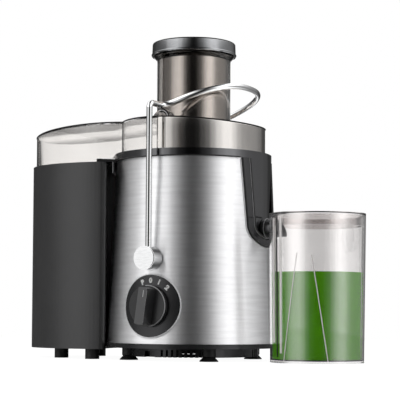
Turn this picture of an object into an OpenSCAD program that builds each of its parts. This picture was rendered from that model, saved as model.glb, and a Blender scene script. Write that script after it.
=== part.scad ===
// Centrifugal juicer with a wide feed chute, a pulp bin and a juice jug.
// Millimetres, +Z up. The origin is on the table, under the motor's axis.
// The front with the speed dial looks along -Y, the spout and the jug are at +X,
// and the pulp bin is at -X.

/* [Base] */
// Height of the base rim's underside above the table
rim_z = 13.5; // [12:0.5:18]
// Height of the black rim between the table side and the steel
rim_h = 5; // [4:0.5:8]
// Thickness of the base plate's floor
plate_t = 3; // [2.5:0.5:4]
// Radius of the ventilation skirt under the base
skirt_r = 73; // [68:1:76]
// Wall of the ventilation skirt
skirt_t = 2.5; // [2:0.5:4]
// Height of the skirt's lower edge above the table
skirt_z = 4; // [2:0.5:6]
// Width of one ventilation slot
vent_w = 2.6; // [2:0.2:3.2]
// Distance of each suction foot from the axis
foot_pos_r = 72.5; // [64:0.5:76]
// Angle of the first foot from the spout's direction
foot_turn = 47.7; // [45:0.1:50]
// Radius of a suction foot's cup
foot_cup_r = 10; // [8:0.5:11]
// Radius of a suction foot's stem
foot_stem_r = 7.5; // [6:0.5:8]

/* [Body] */
// Height of the brushed steel shell
shell_h = 198; // [190:1:215]
// Outer radius of the shell at its lower edge
shell_r_low = 94; // [92:0.5:96]
// Outer radius of the shell at its upper edge
shell_r_high = 85; // [84.5:0.5:87]
// Thickness of the steel sheet
shell_t = 1; // [0.8:0.1:1.4]
// Wall of the inner housing
housing_t = 2.2; // [1.8:0.2:2.8]
// Height of the motor deck's upper face above the steel's lower edge
deck_rise = 113.5; // [112:0.5:116]
// Thickness of the motor deck
deck_t = 4; // [3:0.5:5]

/* [Spout panel] */
// Half width of the trim's outer line at the top of the body
trim_half_top = 36.2; // [33:0.2:38]
// Half width of the trim's oval lower end
trim_low_r = 32.5; // [28:0.5:34]
// Height of the oval's lower half
trim_low_h = 22.5; // [21.5:0.5:28]
// Width of the trim
trim_w = 10; // [8:0.5:12]
// How far the trim stands out of the steel
trim_proud = 1.4; // [0.8:0.2:2]
// Height of the spout's centre over the motor deck
spout_rise = 10.5; // [10:0.5:12]
// Outer radius of the spout tube
spout_r = 9.5; // [8.5:0.5:10]
// Wall of the spout tube
spout_t = 2; // [1.5:0.5:2.5]
// How far the spout reaches into the jug
spout_reach = 14.4; // [11:0.2:18]
// Height of the oval's middle over the spout's centre
trim_over = 2.5; // [1.5:0.5:6]

/* [Juice collector] */
// Height of the black ring over the steel
ring_h = 8; // [6:0.5:10]
// How far the ring stands out of the steel
ring_proud = 1.8; // [1:0.1:2.4]
// Gap between the inner housing and the bowl
bowl_gap = 2; // [1.5:0.5:3]
// Wall of the bowl
bowl_t = 2; // [1.6:0.2:2.4]
// How far the pulp lip reaches beyond the ring
lip_reach = 20; // [16:1:24]
// Depth of the lip's turned-down edge
lip_drop = 12.5; // [8:0.5:16]

/* [Cover] */
// How far the cover's round part lies inside the ring's outer face
cover_inset = 7; // [6.8:0.2:8.6]
// Wall of the cover
cover_t = 2.4; // [2:0.2:3]
// Height of the crown's highest point over the ring
cover_rise = 36.1; // [32:0.1:42]
// Radius of the top's long curve
crown_r = 1120; // [900:20:1800]
// How far the crown's highest point lies towards the pulp bin
crown_x = 40; // [20:5:80]
// Bore of the feed chute
chute_bore = 76.6; // [70:0.2:78]
// Wall of the feed chute
chute_t = 2.6; // [2:0.2:3]
// Height of the chute over the crown's highest point
chute_rise = 74.4; // [60:0.2:80]
// Gap between the chute's lower end and the basket's floor
chute_gap = 6; // [5:0.5:10]

/* [Pusher] */
// How far the pusher's cap reaches beyond the chute
cap_reach = 6.3; // [4.3:0.1:8]
// Height of the cap
cap_h = 14.7; // [12:0.1:22]
// Length of the pusher's tube below the chute's upper end
pusher_l = 145; // [120:1:150]
// Clearance between the pusher and the chute
pusher_gap = 0.7; // [0.4:0.1:1.2]

/* [Locking arm] */
// Radius of the arm's rod
rod_r = 3.2; // [2.5:0.1:3.5]
// Height of the arm's pivot over the steel's lower edge
pivot_rise = 89.5; // [80:0.5:95]
// Distance from the steel to the rod's centre line at the pivot
rod_off = 8.5; // [5:0.5:10]
// Radius of the round buttons on the pivot
button_r = 12.5; // [10:0.5:14]
// Depth of the buttons
button_l = 17; // [14:0.5:20]
// Radius of the pivot pins
pin_r = 5; // [4:0.5:6]
// Height of the rod's centre line over the cover's highest point
rod_rise = 10.9; // [9:0.1:14]
// Reach of the loop in front of the chute's axis
loop_x = 68; // [64:1:74]
// Half width of the loop
loop_y = 66; // [62:1:70]
// Rise of the loop for each millimetre of reach
loop_slope = 0.35; // [0.2:0.01:0.4]
// Swing of the arm from locked to open, in degrees
arm_open = 50; // [40:1:50]

/* [Basket and motor] */
// Gap between the basket's rim and the bowl's ledge
basket_gap = 1.5; // [1:0.5:5]
// Radius of the basket's floor
basket_low_r = 51; // [48:0.5:54]
// Wall of the basket's mesh
mesh_t = 1.2; // [0.8:0.1:1.6]
// How far the grater disc ends inside the basket's floor
grater_inset = 6; // [4:0.5:11]
// Radius of the motor shaft
shaft_r = 4; // [3:0.5:5]
// Radius of the drive coupling
coupling_r = 17; // [15:0.5:17.5]
// Outer radius of the motor's stator
stator_r = 36; // [34:0.5:40]
// Gap between the fan and the base plate's floor
fan_gap = 5.5; // [4:0.5:12]
// Radius of the rotor core
rotor_r = 19.8; // [17:0.2:20]
// Outer radius of both bearings
bearing_r = 11; // [9:0.5:12]

/* [Speed dial] */
// Height of the dial's centre over the steel's lower edge
dial_rise = 39.6; // [38:0.1:45]
// Radius of the dial plate
dial_r = 32.9; // [28:0.1:34]
// Thickness of the dial plate
dial_t = 1.8; // [1.2:0.2:2.4]
// Radius of the speed knob
knob_r = 21.5; // [18:0.5:24]
// Depth of the knob's round base
knob_base_l = 5; // [4:0.5:8]
// Height of the knob's grip bar
grip_l = 13.3; // [8:0.1:14]
// Width of the grip bar's front face
grip_w = 10.1; // [8:0.1:13]
// How much wider each side of the grip is at its foot
grip_draft = 2.5; // [0:0.1:3]
// Angle at which the knob points to its rest mark
knob_rest = 8; // [0:1:10]

/* [Pulp bin] */
// Length of the bin's oval from its middle to its outer end
bin_a = 86.4; // [80:0.2:90]
// Half width of the bin
bin_b = 70; // [66:0.5:74]
// Distance of the oval's middle from the motor axis
bin_mid = 113; // [110:0.5:116]
// Power of the oval: 2 is an ellipse, more is squarer
bin_power = 2.1; // [2:0.1:2.6]
// Gap between the bin's hollow side and the base rim
bin_gap = 1; // [0.8:0.1:2]
// Wall of the bin
bin_t = 2.5; // [2:0.1:3]
// Height of the bin's feet
bin_foot_h = 11; // [8:0.5:13]
// Radius of the bin's feet
bin_foot_r = 7.8; // [6:0.2:8]
// How far the cover's lobe lies inside the bin's sides
lobe_inset = 4.5; // [3.5:0.5:6]
// How far the cover's lobe lies inside the bin's outer end
lobe_end_inset = 2.8; // [2.6:0.2:6]

/* [Juice jug] */
// Gap between the jug's foot and the base rim
jug_gap = 5.3; // [5.3:0.1:9]
// Outer radius of the jug at its rim
jug_r = 51.1; // [48:0.1:53]
// Outer radius of the jug at its foot
jug_low_r = 49.4; // [46:0.2:51]
// Height of the jug's rim over the spout's centre
jug_over = 11.5; // [10:0.5:14]
// Wall of the jug
jug_t = 2.2; // [1.8:0.2:2.8]
// Depth of the lid's skirt
lid_skirt = 11; // [8:0.5:13]
// Thickness of the lid
lid_t = 2.5; // [2:0.25:3.5]

/* [Hidden] */

$fn = 96;
fine = 360;       // facets of the cover's long curve
seat = 0.3;       // gap between faces that stand close without touching
run = 0.05;       // radial running clearance of a shaft in its hole
slip = 0.2;       // radial clearance of a screw or a peg in its hole
past = 1;         // how far a cut runs past the face it opens

// heights
hub_h = 28;
shell_z = rim_z + rim_h;
top_z = shell_z + shell_h;
deck_z = shell_z + deck_rise;
floor_z = rim_z + plate_t;
ring_top = top_z + ring_h;
ledge_z = top_z + 2.5;
seal_h = 1.6;
cover_low = ledge_z + seal_h;
crown_z = ring_top + cover_rise;
chute_top = crown_z + chute_rise;
rod_z = crown_z + rod_rise;
pivot_z = shell_z + pivot_rise;
dial_z = shell_z + dial_rise;
spout_z = deck_z + spout_rise;
hub_top = deck_z + hub_h;
jug_h = spout_z + jug_over;
basket_z = hub_top + 2;
grater_top = basket_z + chute_gap;

// radii
rim_r = shell_r_low + 0.5;
rim_seat = 8;
ring_r = shell_r_high + ring_proud;
panel_r = ring_r + 0.4;
panel_t = 3;
chute_r = chute_bore / 2 + chute_t;
cap_r = chute_r + cap_reach;
grater_r = basket_low_r - grater_inset;
housing_off = shell_t + seat;
function shell_r(z) = shell_r_low + (shell_r_high - shell_r_low) * (z - shell_z) / shell_h;
function housing_ro(z) = shell_r(z) - housing_off;
function housing_ri(z) = housing_ro(z) - housing_t;
rod_y = shell_r(pivot_z) + rod_off;
bowl_r = housing_ri(top_z) - bowl_gap;
ledge_r = bowl_r - 4;
cover_r = ring_r - cover_inset;
basket_rim_r = ledge_r - basket_gap;
jug_x = rim_r + jug_low_r + jug_gap;
spout_l = jug_x - jug_r - panel_r + spout_reach;

// screws and pegs
screw_r = 1.6;
screw_head_r = 3.5;
screw_head_h = 2;
screw_pos_r = skirt_r + 7;
screw_top = floor_z + 16;
boss_r = 4;
peg_r = 3;
seal_r = 10;

// ---------- shared shapes ----------

// A ring standing on z
module ring(ro, ri, z, h) {
  translate([0, 0, z])
    difference() {
      cylinder(r = ro, h = h);
      translate([0, 0, -past]) cylinder(r = ri, h = h + 2 * past);
    }
}

// A round bar along Y, from y0 to y1 at height z
module bar_y(r, y0, y1, z, x = 0) {
  translate([x, y0, z]) rotate([-90, 0, 0]) cylinder(r = r, h = y1 - y0);
}

// A round bar along X, from x0 to x1 at height z
module bar_x(r, x0, x1, z) {
  translate([x0, 0, z]) rotate([0, 90, 0]) cylinder(r = r, h = x1 - x0);
}

// The conical band between two offsets from the steel's outer face
module body_band(inner, outer, z0, z1) {
  rotate_extrude()
    polygon([[shell_r(z0) + inner, z0], [shell_r(z0) + outer, z0],
             [shell_r(z1) + outer, z1], [shell_r(z1) + inner, z1]]);
}

// The U outline of the spout side, moved inwards by inset, cut along X
module u_cut(inset, top) {
  low_z = spout_z + trim_over;
  r = trim_low_r - inset;
  low_h = trim_low_h - 0.8 * inset;
  half_top = trim_half_top - inset;
  translate([ledge_r / 2, 0, 0])
    rotate([90, 0, 90])
      linear_extrude(height = ring_r)
        union() {
          translate([0, low_z]) polygon(oval(0, r, low_h, 2, 72));
          polygon([[-r, low_z], [r, low_z], [half_top, top], [-half_top, top]]);
        }
}

// A closed oval as a list of points
function oval(cx, a, b, power, steps = 120) =
  [for (i = [0 : steps - 1])
    let (t = (i + 0.5) * 360 / steps)
    [cx + a * sign(cos(t)) * pow(abs(cos(t)), 2 / power), b * sign(sin(t)) * pow(abs(sin(t)), 2 / power)]];

// A sector of the ring between two radii, centred on -X
module sector(ro, ri, z, h, half) {
  translate([0, 0, z])
    rotate([0, 0, 180 - half])
      rotate_extrude(angle = 2 * half)
        translate([ri, 0]) square([ro - ri, h]);
}

// ---------- base ----------

foot_angles = [foot_turn, 180 - foot_turn, 180 + foot_turn, 360 - foot_turn];
module at_feet() for (a = foot_angles) rotate([0, 0, a]) translate([foot_pos_r, 0, 0]) children();
module at_screws() for (a = [0 : 90 : 270]) rotate([0, 0, a]) translate([screw_pos_r, 0, 0]) children();

vent_count = 8;
vent_step = 4.6;
vent_start = -87.8;
notch_w = 13.5;
foot_sink = 0.6;  // how deep a foot sits in the rim

module base_plate() color("#1b1b1d")
  difference() {
    union() {
      translate([0, 0, rim_z]) cylinder(r = rim_r, h = rim_h);
      translate([0, 0, skirt_z]) cylinder(r = skirt_r, h = rim_z - skirt_z + past);
    }
    // room above the floor and inside the skirt
    translate([0, 0, floor_z]) cylinder(r = rim_r - rim_seat, h = rim_h);
    translate([0, 0, skirt_z - past]) cylinder(r = skirt_r - skirt_t, h = rim_z - skirt_z + past);
    // one group of slots between each two feet, and the notch beside the front group
    for (side = [0 : 90 : 270])
      for (i = [0 : vent_count - 1])
        rotate([0, 0, side + vent_start + i * vent_step])
          translate([skirt_r - skirt_t - past, -vent_w / 2, skirt_z - past])
            cube([skirt_t + 2 * past, vent_w, rim_z - skirt_z - 0.5]);
    rotate([0, 0, -100])
      translate([skirt_r - skirt_t - past, -notch_w / 2, skirt_z - past])
        cube([skirt_t + 3 * past, notch_w, rim_z - skirt_z - 2]);
    // round openings under the fan
    for (a = [0 : 30 : 330])
      rotate([0, 0, a]) translate([26, 0, rim_z - past]) cylinder(r = 4, h = plate_t + 2 * past);
    at_feet() {
      translate([0, 0, skirt_z - past]) cylinder(r = foot_stem_r + seat, h = rim_z - skirt_z + past + foot_sink);
      translate([0, 0, rim_z - past]) cylinder(r = peg_r + slip, h = plate_t + 2 * past);
    }
    at_screws() {
      translate([0, 0, rim_z - past]) cylinder(r = screw_r + slip, h = plate_t + 2 * past);
      translate([0, 0, rim_z - past]) cylinder(r = screw_head_r + slip, h = screw_head_h + past);
    }
  }

// Rubber foot: hollow cup, waist, stem and the peg that holds it in the base plate
module suction_feet() color("#141414")
  at_feet()
    rotate_extrude($fn = 48)
      polygon([[foot_cup_r - 2.5, 0], [foot_cup_r, 0], [foot_cup_r, 0.8], [foot_stem_r - 1, 4.4],
               [foot_stem_r, 5.4], [foot_stem_r, rim_z + foot_sink], [peg_r, rim_z + foot_sink],
               [peg_r, floor_z - slip],
               [0, floor_z - slip], [0, 1.6], [foot_cup_r - 4, 1.6]]);

module base_screws() color("#8a8c8f")
  at_screws() {
    translate([0, 0, rim_z + slip]) cylinder(r = screw_head_r, h = screw_head_h - slip, $fn = 32);
    translate([0, 0, rim_z + screw_head_h - slip])
      cylinder(r = screw_r, h = screw_top - rim_z - screw_head_h, $fn = 32);
  }

// ---------- body ----------

spindle_r = 3;
spindle_hole = 1.2;
gland_r = 6;
gland_z = rim_z + rim_h + 16;
bush_r = 8;
bush_gap = 0.1;

// Brushed steel sheet, rolled to a slight cone
module body_shell() color("#c9cbce")
  difference() {
    body_band(-shell_t, 0, shell_z, top_z);
    u_cut(0, top_z + past);
    bar_y(bush_r + bush_gap, -rim_r, rim_r, pivot_z);
    bar_y(spindle_r + spindle_hole, -rim_r, 0, dial_z);
    bar_y(gland_r + bush_gap, 0, rim_r, gland_z);
  }

pivot_boss_r = 12;
pivot_inner = housing_ri(pivot_z) - 8;

// Plastic housing behind the steel: it carries the motor under its deck,
// the juice collector above it and the arm's pivots in its two side bosses
module inner_housing() color("#2a2b2e")
  difference() {
    union() {
      body_band(-housing_off - housing_t, -housing_off, shell_z, top_z);
      translate([0, 0, deck_z - deck_t]) cylinder(r = housing_ri(deck_z) + 0.5, h = deck_t);
      bar_y(pivot_boss_r, pivot_inner, housing_ri(pivot_z) + 0.5, pivot_z);
      bar_y(pivot_boss_r, -housing_ri(pivot_z) - 0.5, -pivot_inner, pivot_z);
      at_screws() {
        translate([0, 0, floor_z]) cylinder(r = boss_r, h = screw_top - floor_z + 2);
        translate([0, -1.5, shell_z])
          cube([housing_ri(screw_top) + 0.5 - screw_pos_r, 3, screw_top - shell_z]);
      }
    }
    u_cut(trim_w - seat, top_z + past);
    translate([0, 0, deck_z - deck_t - past]) cylinder(r = seal_r, h = deck_t + 2 * past);
    bar_y(bush_r + bush_gap, -rim_r, rim_r, pivot_z);
    bar_y(spindle_r + spindle_hole, -rim_r, 0, dial_z);
    bar_y(gland_r + bush_gap, 0, rim_r, gland_z);
    at_screws()
      translate([0, 0, floor_z - past]) cylinder(r = screw_r + slip / 2, h = screw_top - floor_z + past + slip);
  }

// Black frame round the spout panel, open at its top
module spout_trim() color("#202124")
  difference() {
    intersection() {
      body_band(-housing_off + seat / 3, trim_proud, shell_z, top_z);
      u_cut(seat, top_z);
    }
    u_cut(trim_w - seat, top_z + past);
  }

// Black plate of the speed dial, bent to the steel
module dial_plate() color("#161618")
  difference() {
    intersection() {
      body_band(seat / 2, seat / 2 + dial_t, shell_z, top_z);
      bar_y(dial_r, -rim_r - dial_t - 5, -shell_r(dial_z) / 2, dial_z);
    }
    bar_y(spindle_r + spindle_hole, -rim_r - dial_t - 6, 0, dial_z);
  }

// Rubber gland for the mains lead at the back
module cord_gland() color("#141414")
  difference() {
    union() {
      bar_y(gland_r, housing_ri(gland_z) - 3, shell_r(gland_z) + 2, gland_z);
      bar_y(gland_r + 2.5, shell_r(gland_z) + seat, shell_r(gland_z) + 3, gland_z);
      bar_y(gland_r - 1.5, shell_r(gland_z) + 2, shell_r(gland_z) + 12, gland_z);
    }
    bar_y(3, housing_ri(gland_z) - 3 - past, shell_r(gland_z) + 12 + past, gland_z);
  }

module pivot_bush() color("#d8d8d4")
  difference() {
    bar_y(bush_r, pivot_inner - 1, shell_r(pivot_z) + seat, pivot_z);
    bar_y(pin_r + run, pivot_inner - 2, shell_r(pivot_z) + 2, pivot_z);
  }
module pivot_bushes() {
  pivot_bush();
  rotate([0, 0, 180]) pivot_bush();
}

// ---------- motor ----------

mount_room = 20;    // from the upper plate's underside to the deck's upper face
coil_room = 8;      // between the core and the upper plate
brush_room = 28;    // between the lower plate's underside and the core
fan_room = 14;      // from the shaft's lower end to the lower plate
upper_plate_z = deck_z - mount_room;
upper_plate_t = 3;
mount_pos_r = 43;
mount_r = 6;
bearing_h = 8;
cup_t = 2.5;
shaft_low = floor_z + fan_gap;
lower_plate_z = shaft_low + fan_room;
lower_plate_t = 3.5;
core_z = lower_plate_z + brush_room;
core_top = upper_plate_z - coil_room;
core_h = core_top - core_z;
post_w = 6;
window_r = 7;
window_at = 27;
low_window_at = 24;
commutator_z = lower_plate_z + lower_plate_t + 8;
commutator_h = 12;
commutator_r = 11;
holder_w = 10;
holder_l = 12;
holder_y = bearing_r + cup_t + 1.5;
brush_w = 6;
fan_hub_r = 8;
blade_t = 1.5;
coil_r = 22;
coil_h = 7;
fan_h = 10;
fan_r = 33;

module posts(z, h)
  for (a = [45 : 90 : 315])
    rotate([0, 0, a]) translate([stator_r - post_w - 0.5, -post_w / 2, z]) cube([post_w, post_w, h]);

// Die-cast plate that hangs the motor from the deck and holds the upper bearing
module upper_bracket() color("#9a9da1")
  difference() {
    union() {
      translate([0, 0, upper_plate_z]) cylinder(r = mount_pos_r + mount_r, h = upper_plate_t);
      ring(bearing_r + slip / 2 + cup_t, bearing_r + slip / 2, upper_plate_z + upper_plate_t - 0.5, bearing_h + 0.5);
      posts(core_top, upper_plate_z - core_top + 0.5);
    }
    translate([0, 0, upper_plate_z - past]) cylinder(r = bearing_r - 3, h = upper_plate_t + 2 * past);
    for (a = [0 : 90 : 270])
      rotate([0, 0, a])
        translate([window_at, 0, upper_plate_z - past]) cylinder(r = window_r, h = upper_plate_t + 2 * past);
  }

module lower_bracket() color("#9a9da1")
  difference() {
    union() {
      translate([0, 0, lower_plate_z]) cylinder(r = stator_r, h = lower_plate_t);
      ring(bearing_r + slip / 2 + cup_t, bearing_r + slip / 2, lower_plate_z, bearing_h + 1);
      posts(lower_plate_z + lower_plate_t - 0.5, core_z - lower_plate_z - lower_plate_t + 0.5);
    }
    translate([0, 0, lower_plate_z + 1]) cylinder(r = bearing_r + slip / 2, h = bearing_h + past);
    translate([0, 0, lower_plate_z - past]) cylinder(r = bearing_r - 3, h = lower_plate_t + 2 * past);
    for (a = [0 : 180 : 180])
      rotate([0, 0, a])
        translate([low_window_at, 0, lower_plate_z - past])
          cylinder(r = window_r, h = lower_plate_t + 2 * past);
  }

// Rubber blocks between the motor and the deck
module motor_mounts() color("#1a1a1a")
  for (a = [45 : 90 : 315])
    rotate([0, 0, a])
      translate([mount_pos_r, 0, upper_plate_z + upper_plate_t])
        cylinder(r = mount_r, h = deck_z - deck_t - upper_plate_z - upper_plate_t, $fn = 32);

// Laminated steel core with two pole shoes round the rotor
module stator_core() color("#6d7075")
  difference() {
    translate([0, 0, core_z]) cylinder(r = stator_r, h = core_h);
    translate([0, 0, core_z - past]) cylinder(r = rotor_r + 0.7, h = core_h + 2 * past);
  }

module field_windings() color("#b06a32")
  for (z = [core_z - coil_h, core_top])
    for (side = [0, 180])
      translate([0, 0, z])
        rotate([0, 0, side - 40])
          rotate_extrude(angle = 80)
            translate([coil_r, 0]) square([stator_r - post_w - 1.5 - coil_r, coil_h]);

module bearing(z) color("#b9bcc0") ring(bearing_r, shaft_r + run, z, bearing_h);
module upper_bearing() bearing(upper_plate_z + upper_plate_t);
module lower_bearing() bearing(lower_plate_z + 1);

// Carbon brush holders that stand on the lower bracket
module brush_holders() color("#4a3a2c")
  for (side = [0, 180])
    rotate([0, 0, side]) {
      translate([-holder_w / 2, holder_y, lower_plate_z + lower_plate_t])
        cube([holder_w, holder_l, commutator_h + brush_w]);
      translate([-brush_w / 2, commutator_r + seat, commutator_z + 2])
        cube([brush_w, holder_y + 1 - commutator_r - seat, commutator_h - 4]);
    }

module motor_shaft() color("#d2d4d6")
  translate([0, 0, shaft_low]) cylinder(r = shaft_r, h = hub_top - 3 - shaft_low);

module rotor_core() color("#7c7f84")
  difference() {
    translate([0, 0, core_z]) cylinder(r = rotor_r, h = core_h);
    translate([0, 0, core_z - past]) cylinder(r = shaft_r, h = core_h + 2 * past);
    for (a = [0 : 30 : 330])
      rotate([0, 0, a]) translate([rotor_r - 1, -1, core_z - past]) cube([3, 2, core_h + 2 * past]);
  }

module commutator() color("#b5651d")
  ring(commutator_r, shaft_r, commutator_z, commutator_h);

// Fan below the motor: it blows out through the skirt's slots
module cooling_fan() color("#3c3f44") {
  ring(fan_hub_r, shaft_r, shaft_low + 1, fan_h);
  ring(fan_r, fan_hub_r - 0.5, shaft_low + 1 + fan_h - blade_t, blade_t);
  for (a = [0 : 30 : 330])
    rotate([0, 0, a])
      translate([fan_hub_r - 1, -blade_t / 2, shaft_low + 1]) cube([fan_r - fan_hub_r + 0.5, blade_t, fan_h - 1]);
}

module shaft_seal() color("#3a1f1f")
  ring(seal_r - slip / 2, shaft_r + seat, deck_z - deck_t, deck_t);

// ---------- drive, basket and grater ----------

basket_rim_top = top_z + 5.5;
tower_r = coupling_r + 5.2;
tower_t = 2;

// Three-lobed coupling pressed on the shaft
module drive_coupling() color("#d9dadb")
  difference() {
    union() {
      translate([0, 0, deck_z + 2]) cylinder(r = coupling_r - 5, h = hub_top - deck_z - 2);
      translate([0, 0, hub_top - 8]) cylinder(r = coupling_r, h = 8);
    }
    translate([0, 0, deck_z + 2 - past]) cylinder(r = shaft_r, h = hub_top - 3 - deck_z - 2 + past);
    for (a = [0 : 120 : 240])
      rotate([0, 0, a]) translate([coupling_r, 0, hub_top - 8 - past]) cylinder(r = 3.5, h = 8 + 2 * past);
  }

// Steel mesh cone on a floor with a socket for the coupling
module filter_basket() color("#b8babd")
  difference() {
    union() {
      rotate_extrude()
        polygon([[0, basket_z], [basket_low_r, basket_z], [basket_rim_r - 3 + mesh_t, basket_rim_top - 4],
                 [basket_rim_r, basket_rim_top - 4], [basket_rim_r, basket_rim_top],
                 [basket_rim_r - 3, basket_rim_top], [basket_low_r - mesh_t, basket_z + 2.2],
                 [0, basket_z + 2.2]]);
      ring(coupling_r + seat + 2, coupling_r + seat, hub_top - 10, 12.5);
      translate([0, 0, hub_top]) cylinder(r = coupling_r + seat + 1, h = 2.5);
    }
    for (a = [0 : 7.5 : 352.5])
      rotate([0, 0, a])
        translate([basket_low_r - 8, -0.8, basket_z + 6])
          cube([basket_rim_r - basket_low_r + 10, 1.6, basket_rim_top - basket_z - 14]);
  }

// Grater disc with raised teeth in six curved rows
module grater_disc() color("#d5d7d9") {
  translate([0, 0, basket_z + 2.2]) cylinder(r = grater_r, h = 1);
  for (row = [0 : 60 : 300])
    for (i = [1 : 7])
      rotate([0, 0, row + i * 5])
        translate([i * (grater_r - 4) / 7 - 1.5, -0.5, basket_z + 2.9]) cube([3, 1, 1.8]);
}

// ---------- juice collector, spout and cover ----------

lip_half = 37;
lip_r = ring_r + lip_reach;
lip_z = top_z;
lip_t = 3;
panel_gap = 0.6;
spout_hole = spout_r - 1;

// Black bowl: ring on the body's edge, bowl with its centre tower,
// the spout panel at +X and the lip that leads the pulp over the bin's edge
module juice_collector() color("#1e1f22")
  difference() {
    union() {
      ring(ring_r, ledge_r, top_z, ledge_z - top_z);
      ring(ring_r, cover_r + 0.4, top_z, ring_h);
      ring(bowl_r, bowl_r - bowl_t, deck_z + seat, ledge_z - deck_z - seat);
      ring(bowl_r, tower_r - tower_t, deck_z + seat, bowl_t);
      ring(tower_r, tower_r - tower_t, deck_z + seat, hub_top - deck_z - 4);
      // spout panel, with the boss that the nozzle sits in
      intersection() {
        ring(panel_r, panel_r - panel_t, deck_z - trim_low_r, top_z - deck_z + trim_low_r + past);
        u_cut(trim_w + panel_gap, top_z + past);
      }
      intersection() {
        bar_x(spout_r + 2.5, bowl_r - bowl_t, panel_r - 1, spout_z);
        cylinder(r = panel_r - 1, h = top_z);
      }
      // pulp lip and its turned-down edge
      sector(lip_r, ring_r - 1, lip_z, lip_t, lip_half);
      sector(ring_r + 3, ring_r + 1, lip_z - lip_drop, lip_drop + lip_t, lip_half);
    }
    bar_x(spout_hole, bowl_r - bowl_t - 2, panel_r + past, spout_z);
    // the ring is low where the pulp leaves
    sector(cover_r + lip_reach, ledge_r - past, ledge_z, ring_h, lip_half - 6);
  }

// Round-flanged spout nozzle pressed into the panel
module spout_nozzle() color("#19191b")
  difference() {
    union() {
      bar_x(spout_hole - slip / 2, bowl_r, panel_r + 2, spout_z);
      bar_x(spout_r + 1.2, panel_r + seat, panel_r + 4, spout_z);
      bar_x(spout_r, panel_r + 3, panel_r + spout_l, spout_z);
    }
    bar_x(spout_r - spout_t, bowl_r - past, panel_r + spout_l + past, spout_z);
    // slanted mouth that points down into the jug
    translate([panel_r + spout_l, 0, spout_z - spout_r - past])
      rotate([0, -25, 0])
        translate([0, -2 * spout_r, -past]) cube([3 * spout_r, 4 * spout_r, 4 * spout_r]);
  }

module cover_seal() color("#6b6f73")
  ring(cover_r - 0.2, cover_r - cover_t + 0.2, ledge_z, seal_h);

lobe_a = bin_a - lobe_end_inset;
lobe_b = bin_b - lobe_inset;
module cover_outline(inset) {
  circle(r = cover_r - inset);
  polygon(oval(-bin_mid, lobe_a - inset, lobe_b - inset, bin_power));
}
module crown(drop)
  translate([-crown_x, 0, crown_z - crown_r])
    rotate([90, 0, 0]) cylinder(r = crown_r - drop, h = 4 * bin_b, center = true, $fn = fine);

ear_w = 20;
ear_l = 13;
ear_nose = 6;     // radius of the ear's outer top edge
ear_low = 9;      // how far the ear reaches below the cover's highest point
ear_y = loop_y - 5;
ear_top = rod_z - rod_r - seat;

// Ear with a round top that the locking arm presses on
module ear()
  intersection() {
    translate([-ear_w / 2, 0, 0])
      rotate([90, 0, 90])
        linear_extrude(height = ear_w)
          union() {
            translate([-ear_y - ear_l + ear_nose, ear_top - ear_nose]) circle(r = ear_nose, $fn = 48);
            translate([-ear_y - ear_l + ear_nose, ear_top - ear_nose - 2]) square([ear_l - ear_nose, ear_nose + 2]);
            translate([-ear_y - ear_l, crown_z - ear_low]) square([ear_l, ear_top - crown_z + ear_low - ear_nose + 1]);
          }
    translate([0, -ear_y + past, 0])
      rotate([90, 0, 0])
        linear_extrude(height = ear_l + 2 * past)
          union() {
            translate([0, ear_top - ear_w / 2]) circle(r = ear_w / 2);
            translate([-ear_w / 2, crown_z - ear_low - past]) square([ear_w, ear_top - crown_z + ear_low + past - ear_w / 2]);
          }
  }

flange_h = 4;
flange_reach = 3.6;

// Smoky clear cover: round part, lobe over the bin, curved top and feed chute
module top_cover() color("#6e655c", 0.55)
  difference() {
    union() {
      difference() {
        intersection() {
          translate([0, 0, top_z]) linear_extrude(height = cover_rise + ring_h + 5) cover_outline(0);
          crown(0);
        }
        intersection() {
          translate([0, 0, top_z - past]) linear_extrude(height = cover_rise + ring_h + 5) cover_outline(cover_t);
          crown(cover_t);
        }
      }
      translate([0, 0, grater_top]) cylinder(r = chute_r, h = chute_top - grater_top);
      translate([0, 0, chute_top - flange_h]) cylinder(r = chute_r + flange_reach, h = flange_h);
      ear();
      mirror([0, 1, 0]) ear();
    }
    translate([0, 0, grater_top - past]) cylinder(r = chute_bore / 2, h = chute_top - grater_top + 2 * past);
    // the round part stands on its seal, inside the ring
    difference() {
      translate([0, 0, top_z - 2 * past]) cylinder(r = cover_r + 0.2, h = cover_low - top_z + 2 * past);
      translate([0, 0, 0]) cylinder(r = chute_r + past, h = cover_low + past);
    }
    // the lobe's wall steps over the ring and over the pulp lip
    ring(ring_r + 0.4, cover_r + 0.2, top_z - past, ring_h + seat + past);
    ring(lip_r + 0.6, ring_r, top_z - past, lip_t + seat + past);
  }

// ---------- pusher ----------

pusher_r = chute_bore / 2 - pusher_gap;
pusher_over = 2;    // how far the tube stands above the chute, inside the cap
cap_low = chute_top + seat;
module pusher_body() color("#5b554e", 0.6)
  difference() {
    translate([0, 0, chute_top - pusher_l]) cylinder(r = pusher_r, h = pusher_l + pusher_over);
    translate([0, 0, chute_top - pusher_l + 2.5]) cylinder(r = pusher_r - 2.2, h = pusher_l + 2);
  }

module pusher_cap() color("#4a4d52")
  rotate_extrude()
    difference() {
      union() {
        translate([0, cap_low]) square([cap_r - 0.8, cap_h - 5]);
        translate([0, cap_low]) square([cap_r, 2.5]);
        translate([0, cap_low + cap_h - 6]) square([cap_r - 5.8, 6]);
        intersection() {
          translate([cap_r - 5.8, cap_low + cap_h - 5]) circle(r = 5);
          translate([0, cap_low]) square([2 * cap_r, 2 * cap_h]);
        }
      }
      translate([-past, cap_low - past]) square([pusher_r + past, chute_top + pusher_over - cap_low + past]);
    }

// ---------- locking arm ----------

bend_r = 6;
corner = 10;

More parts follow.
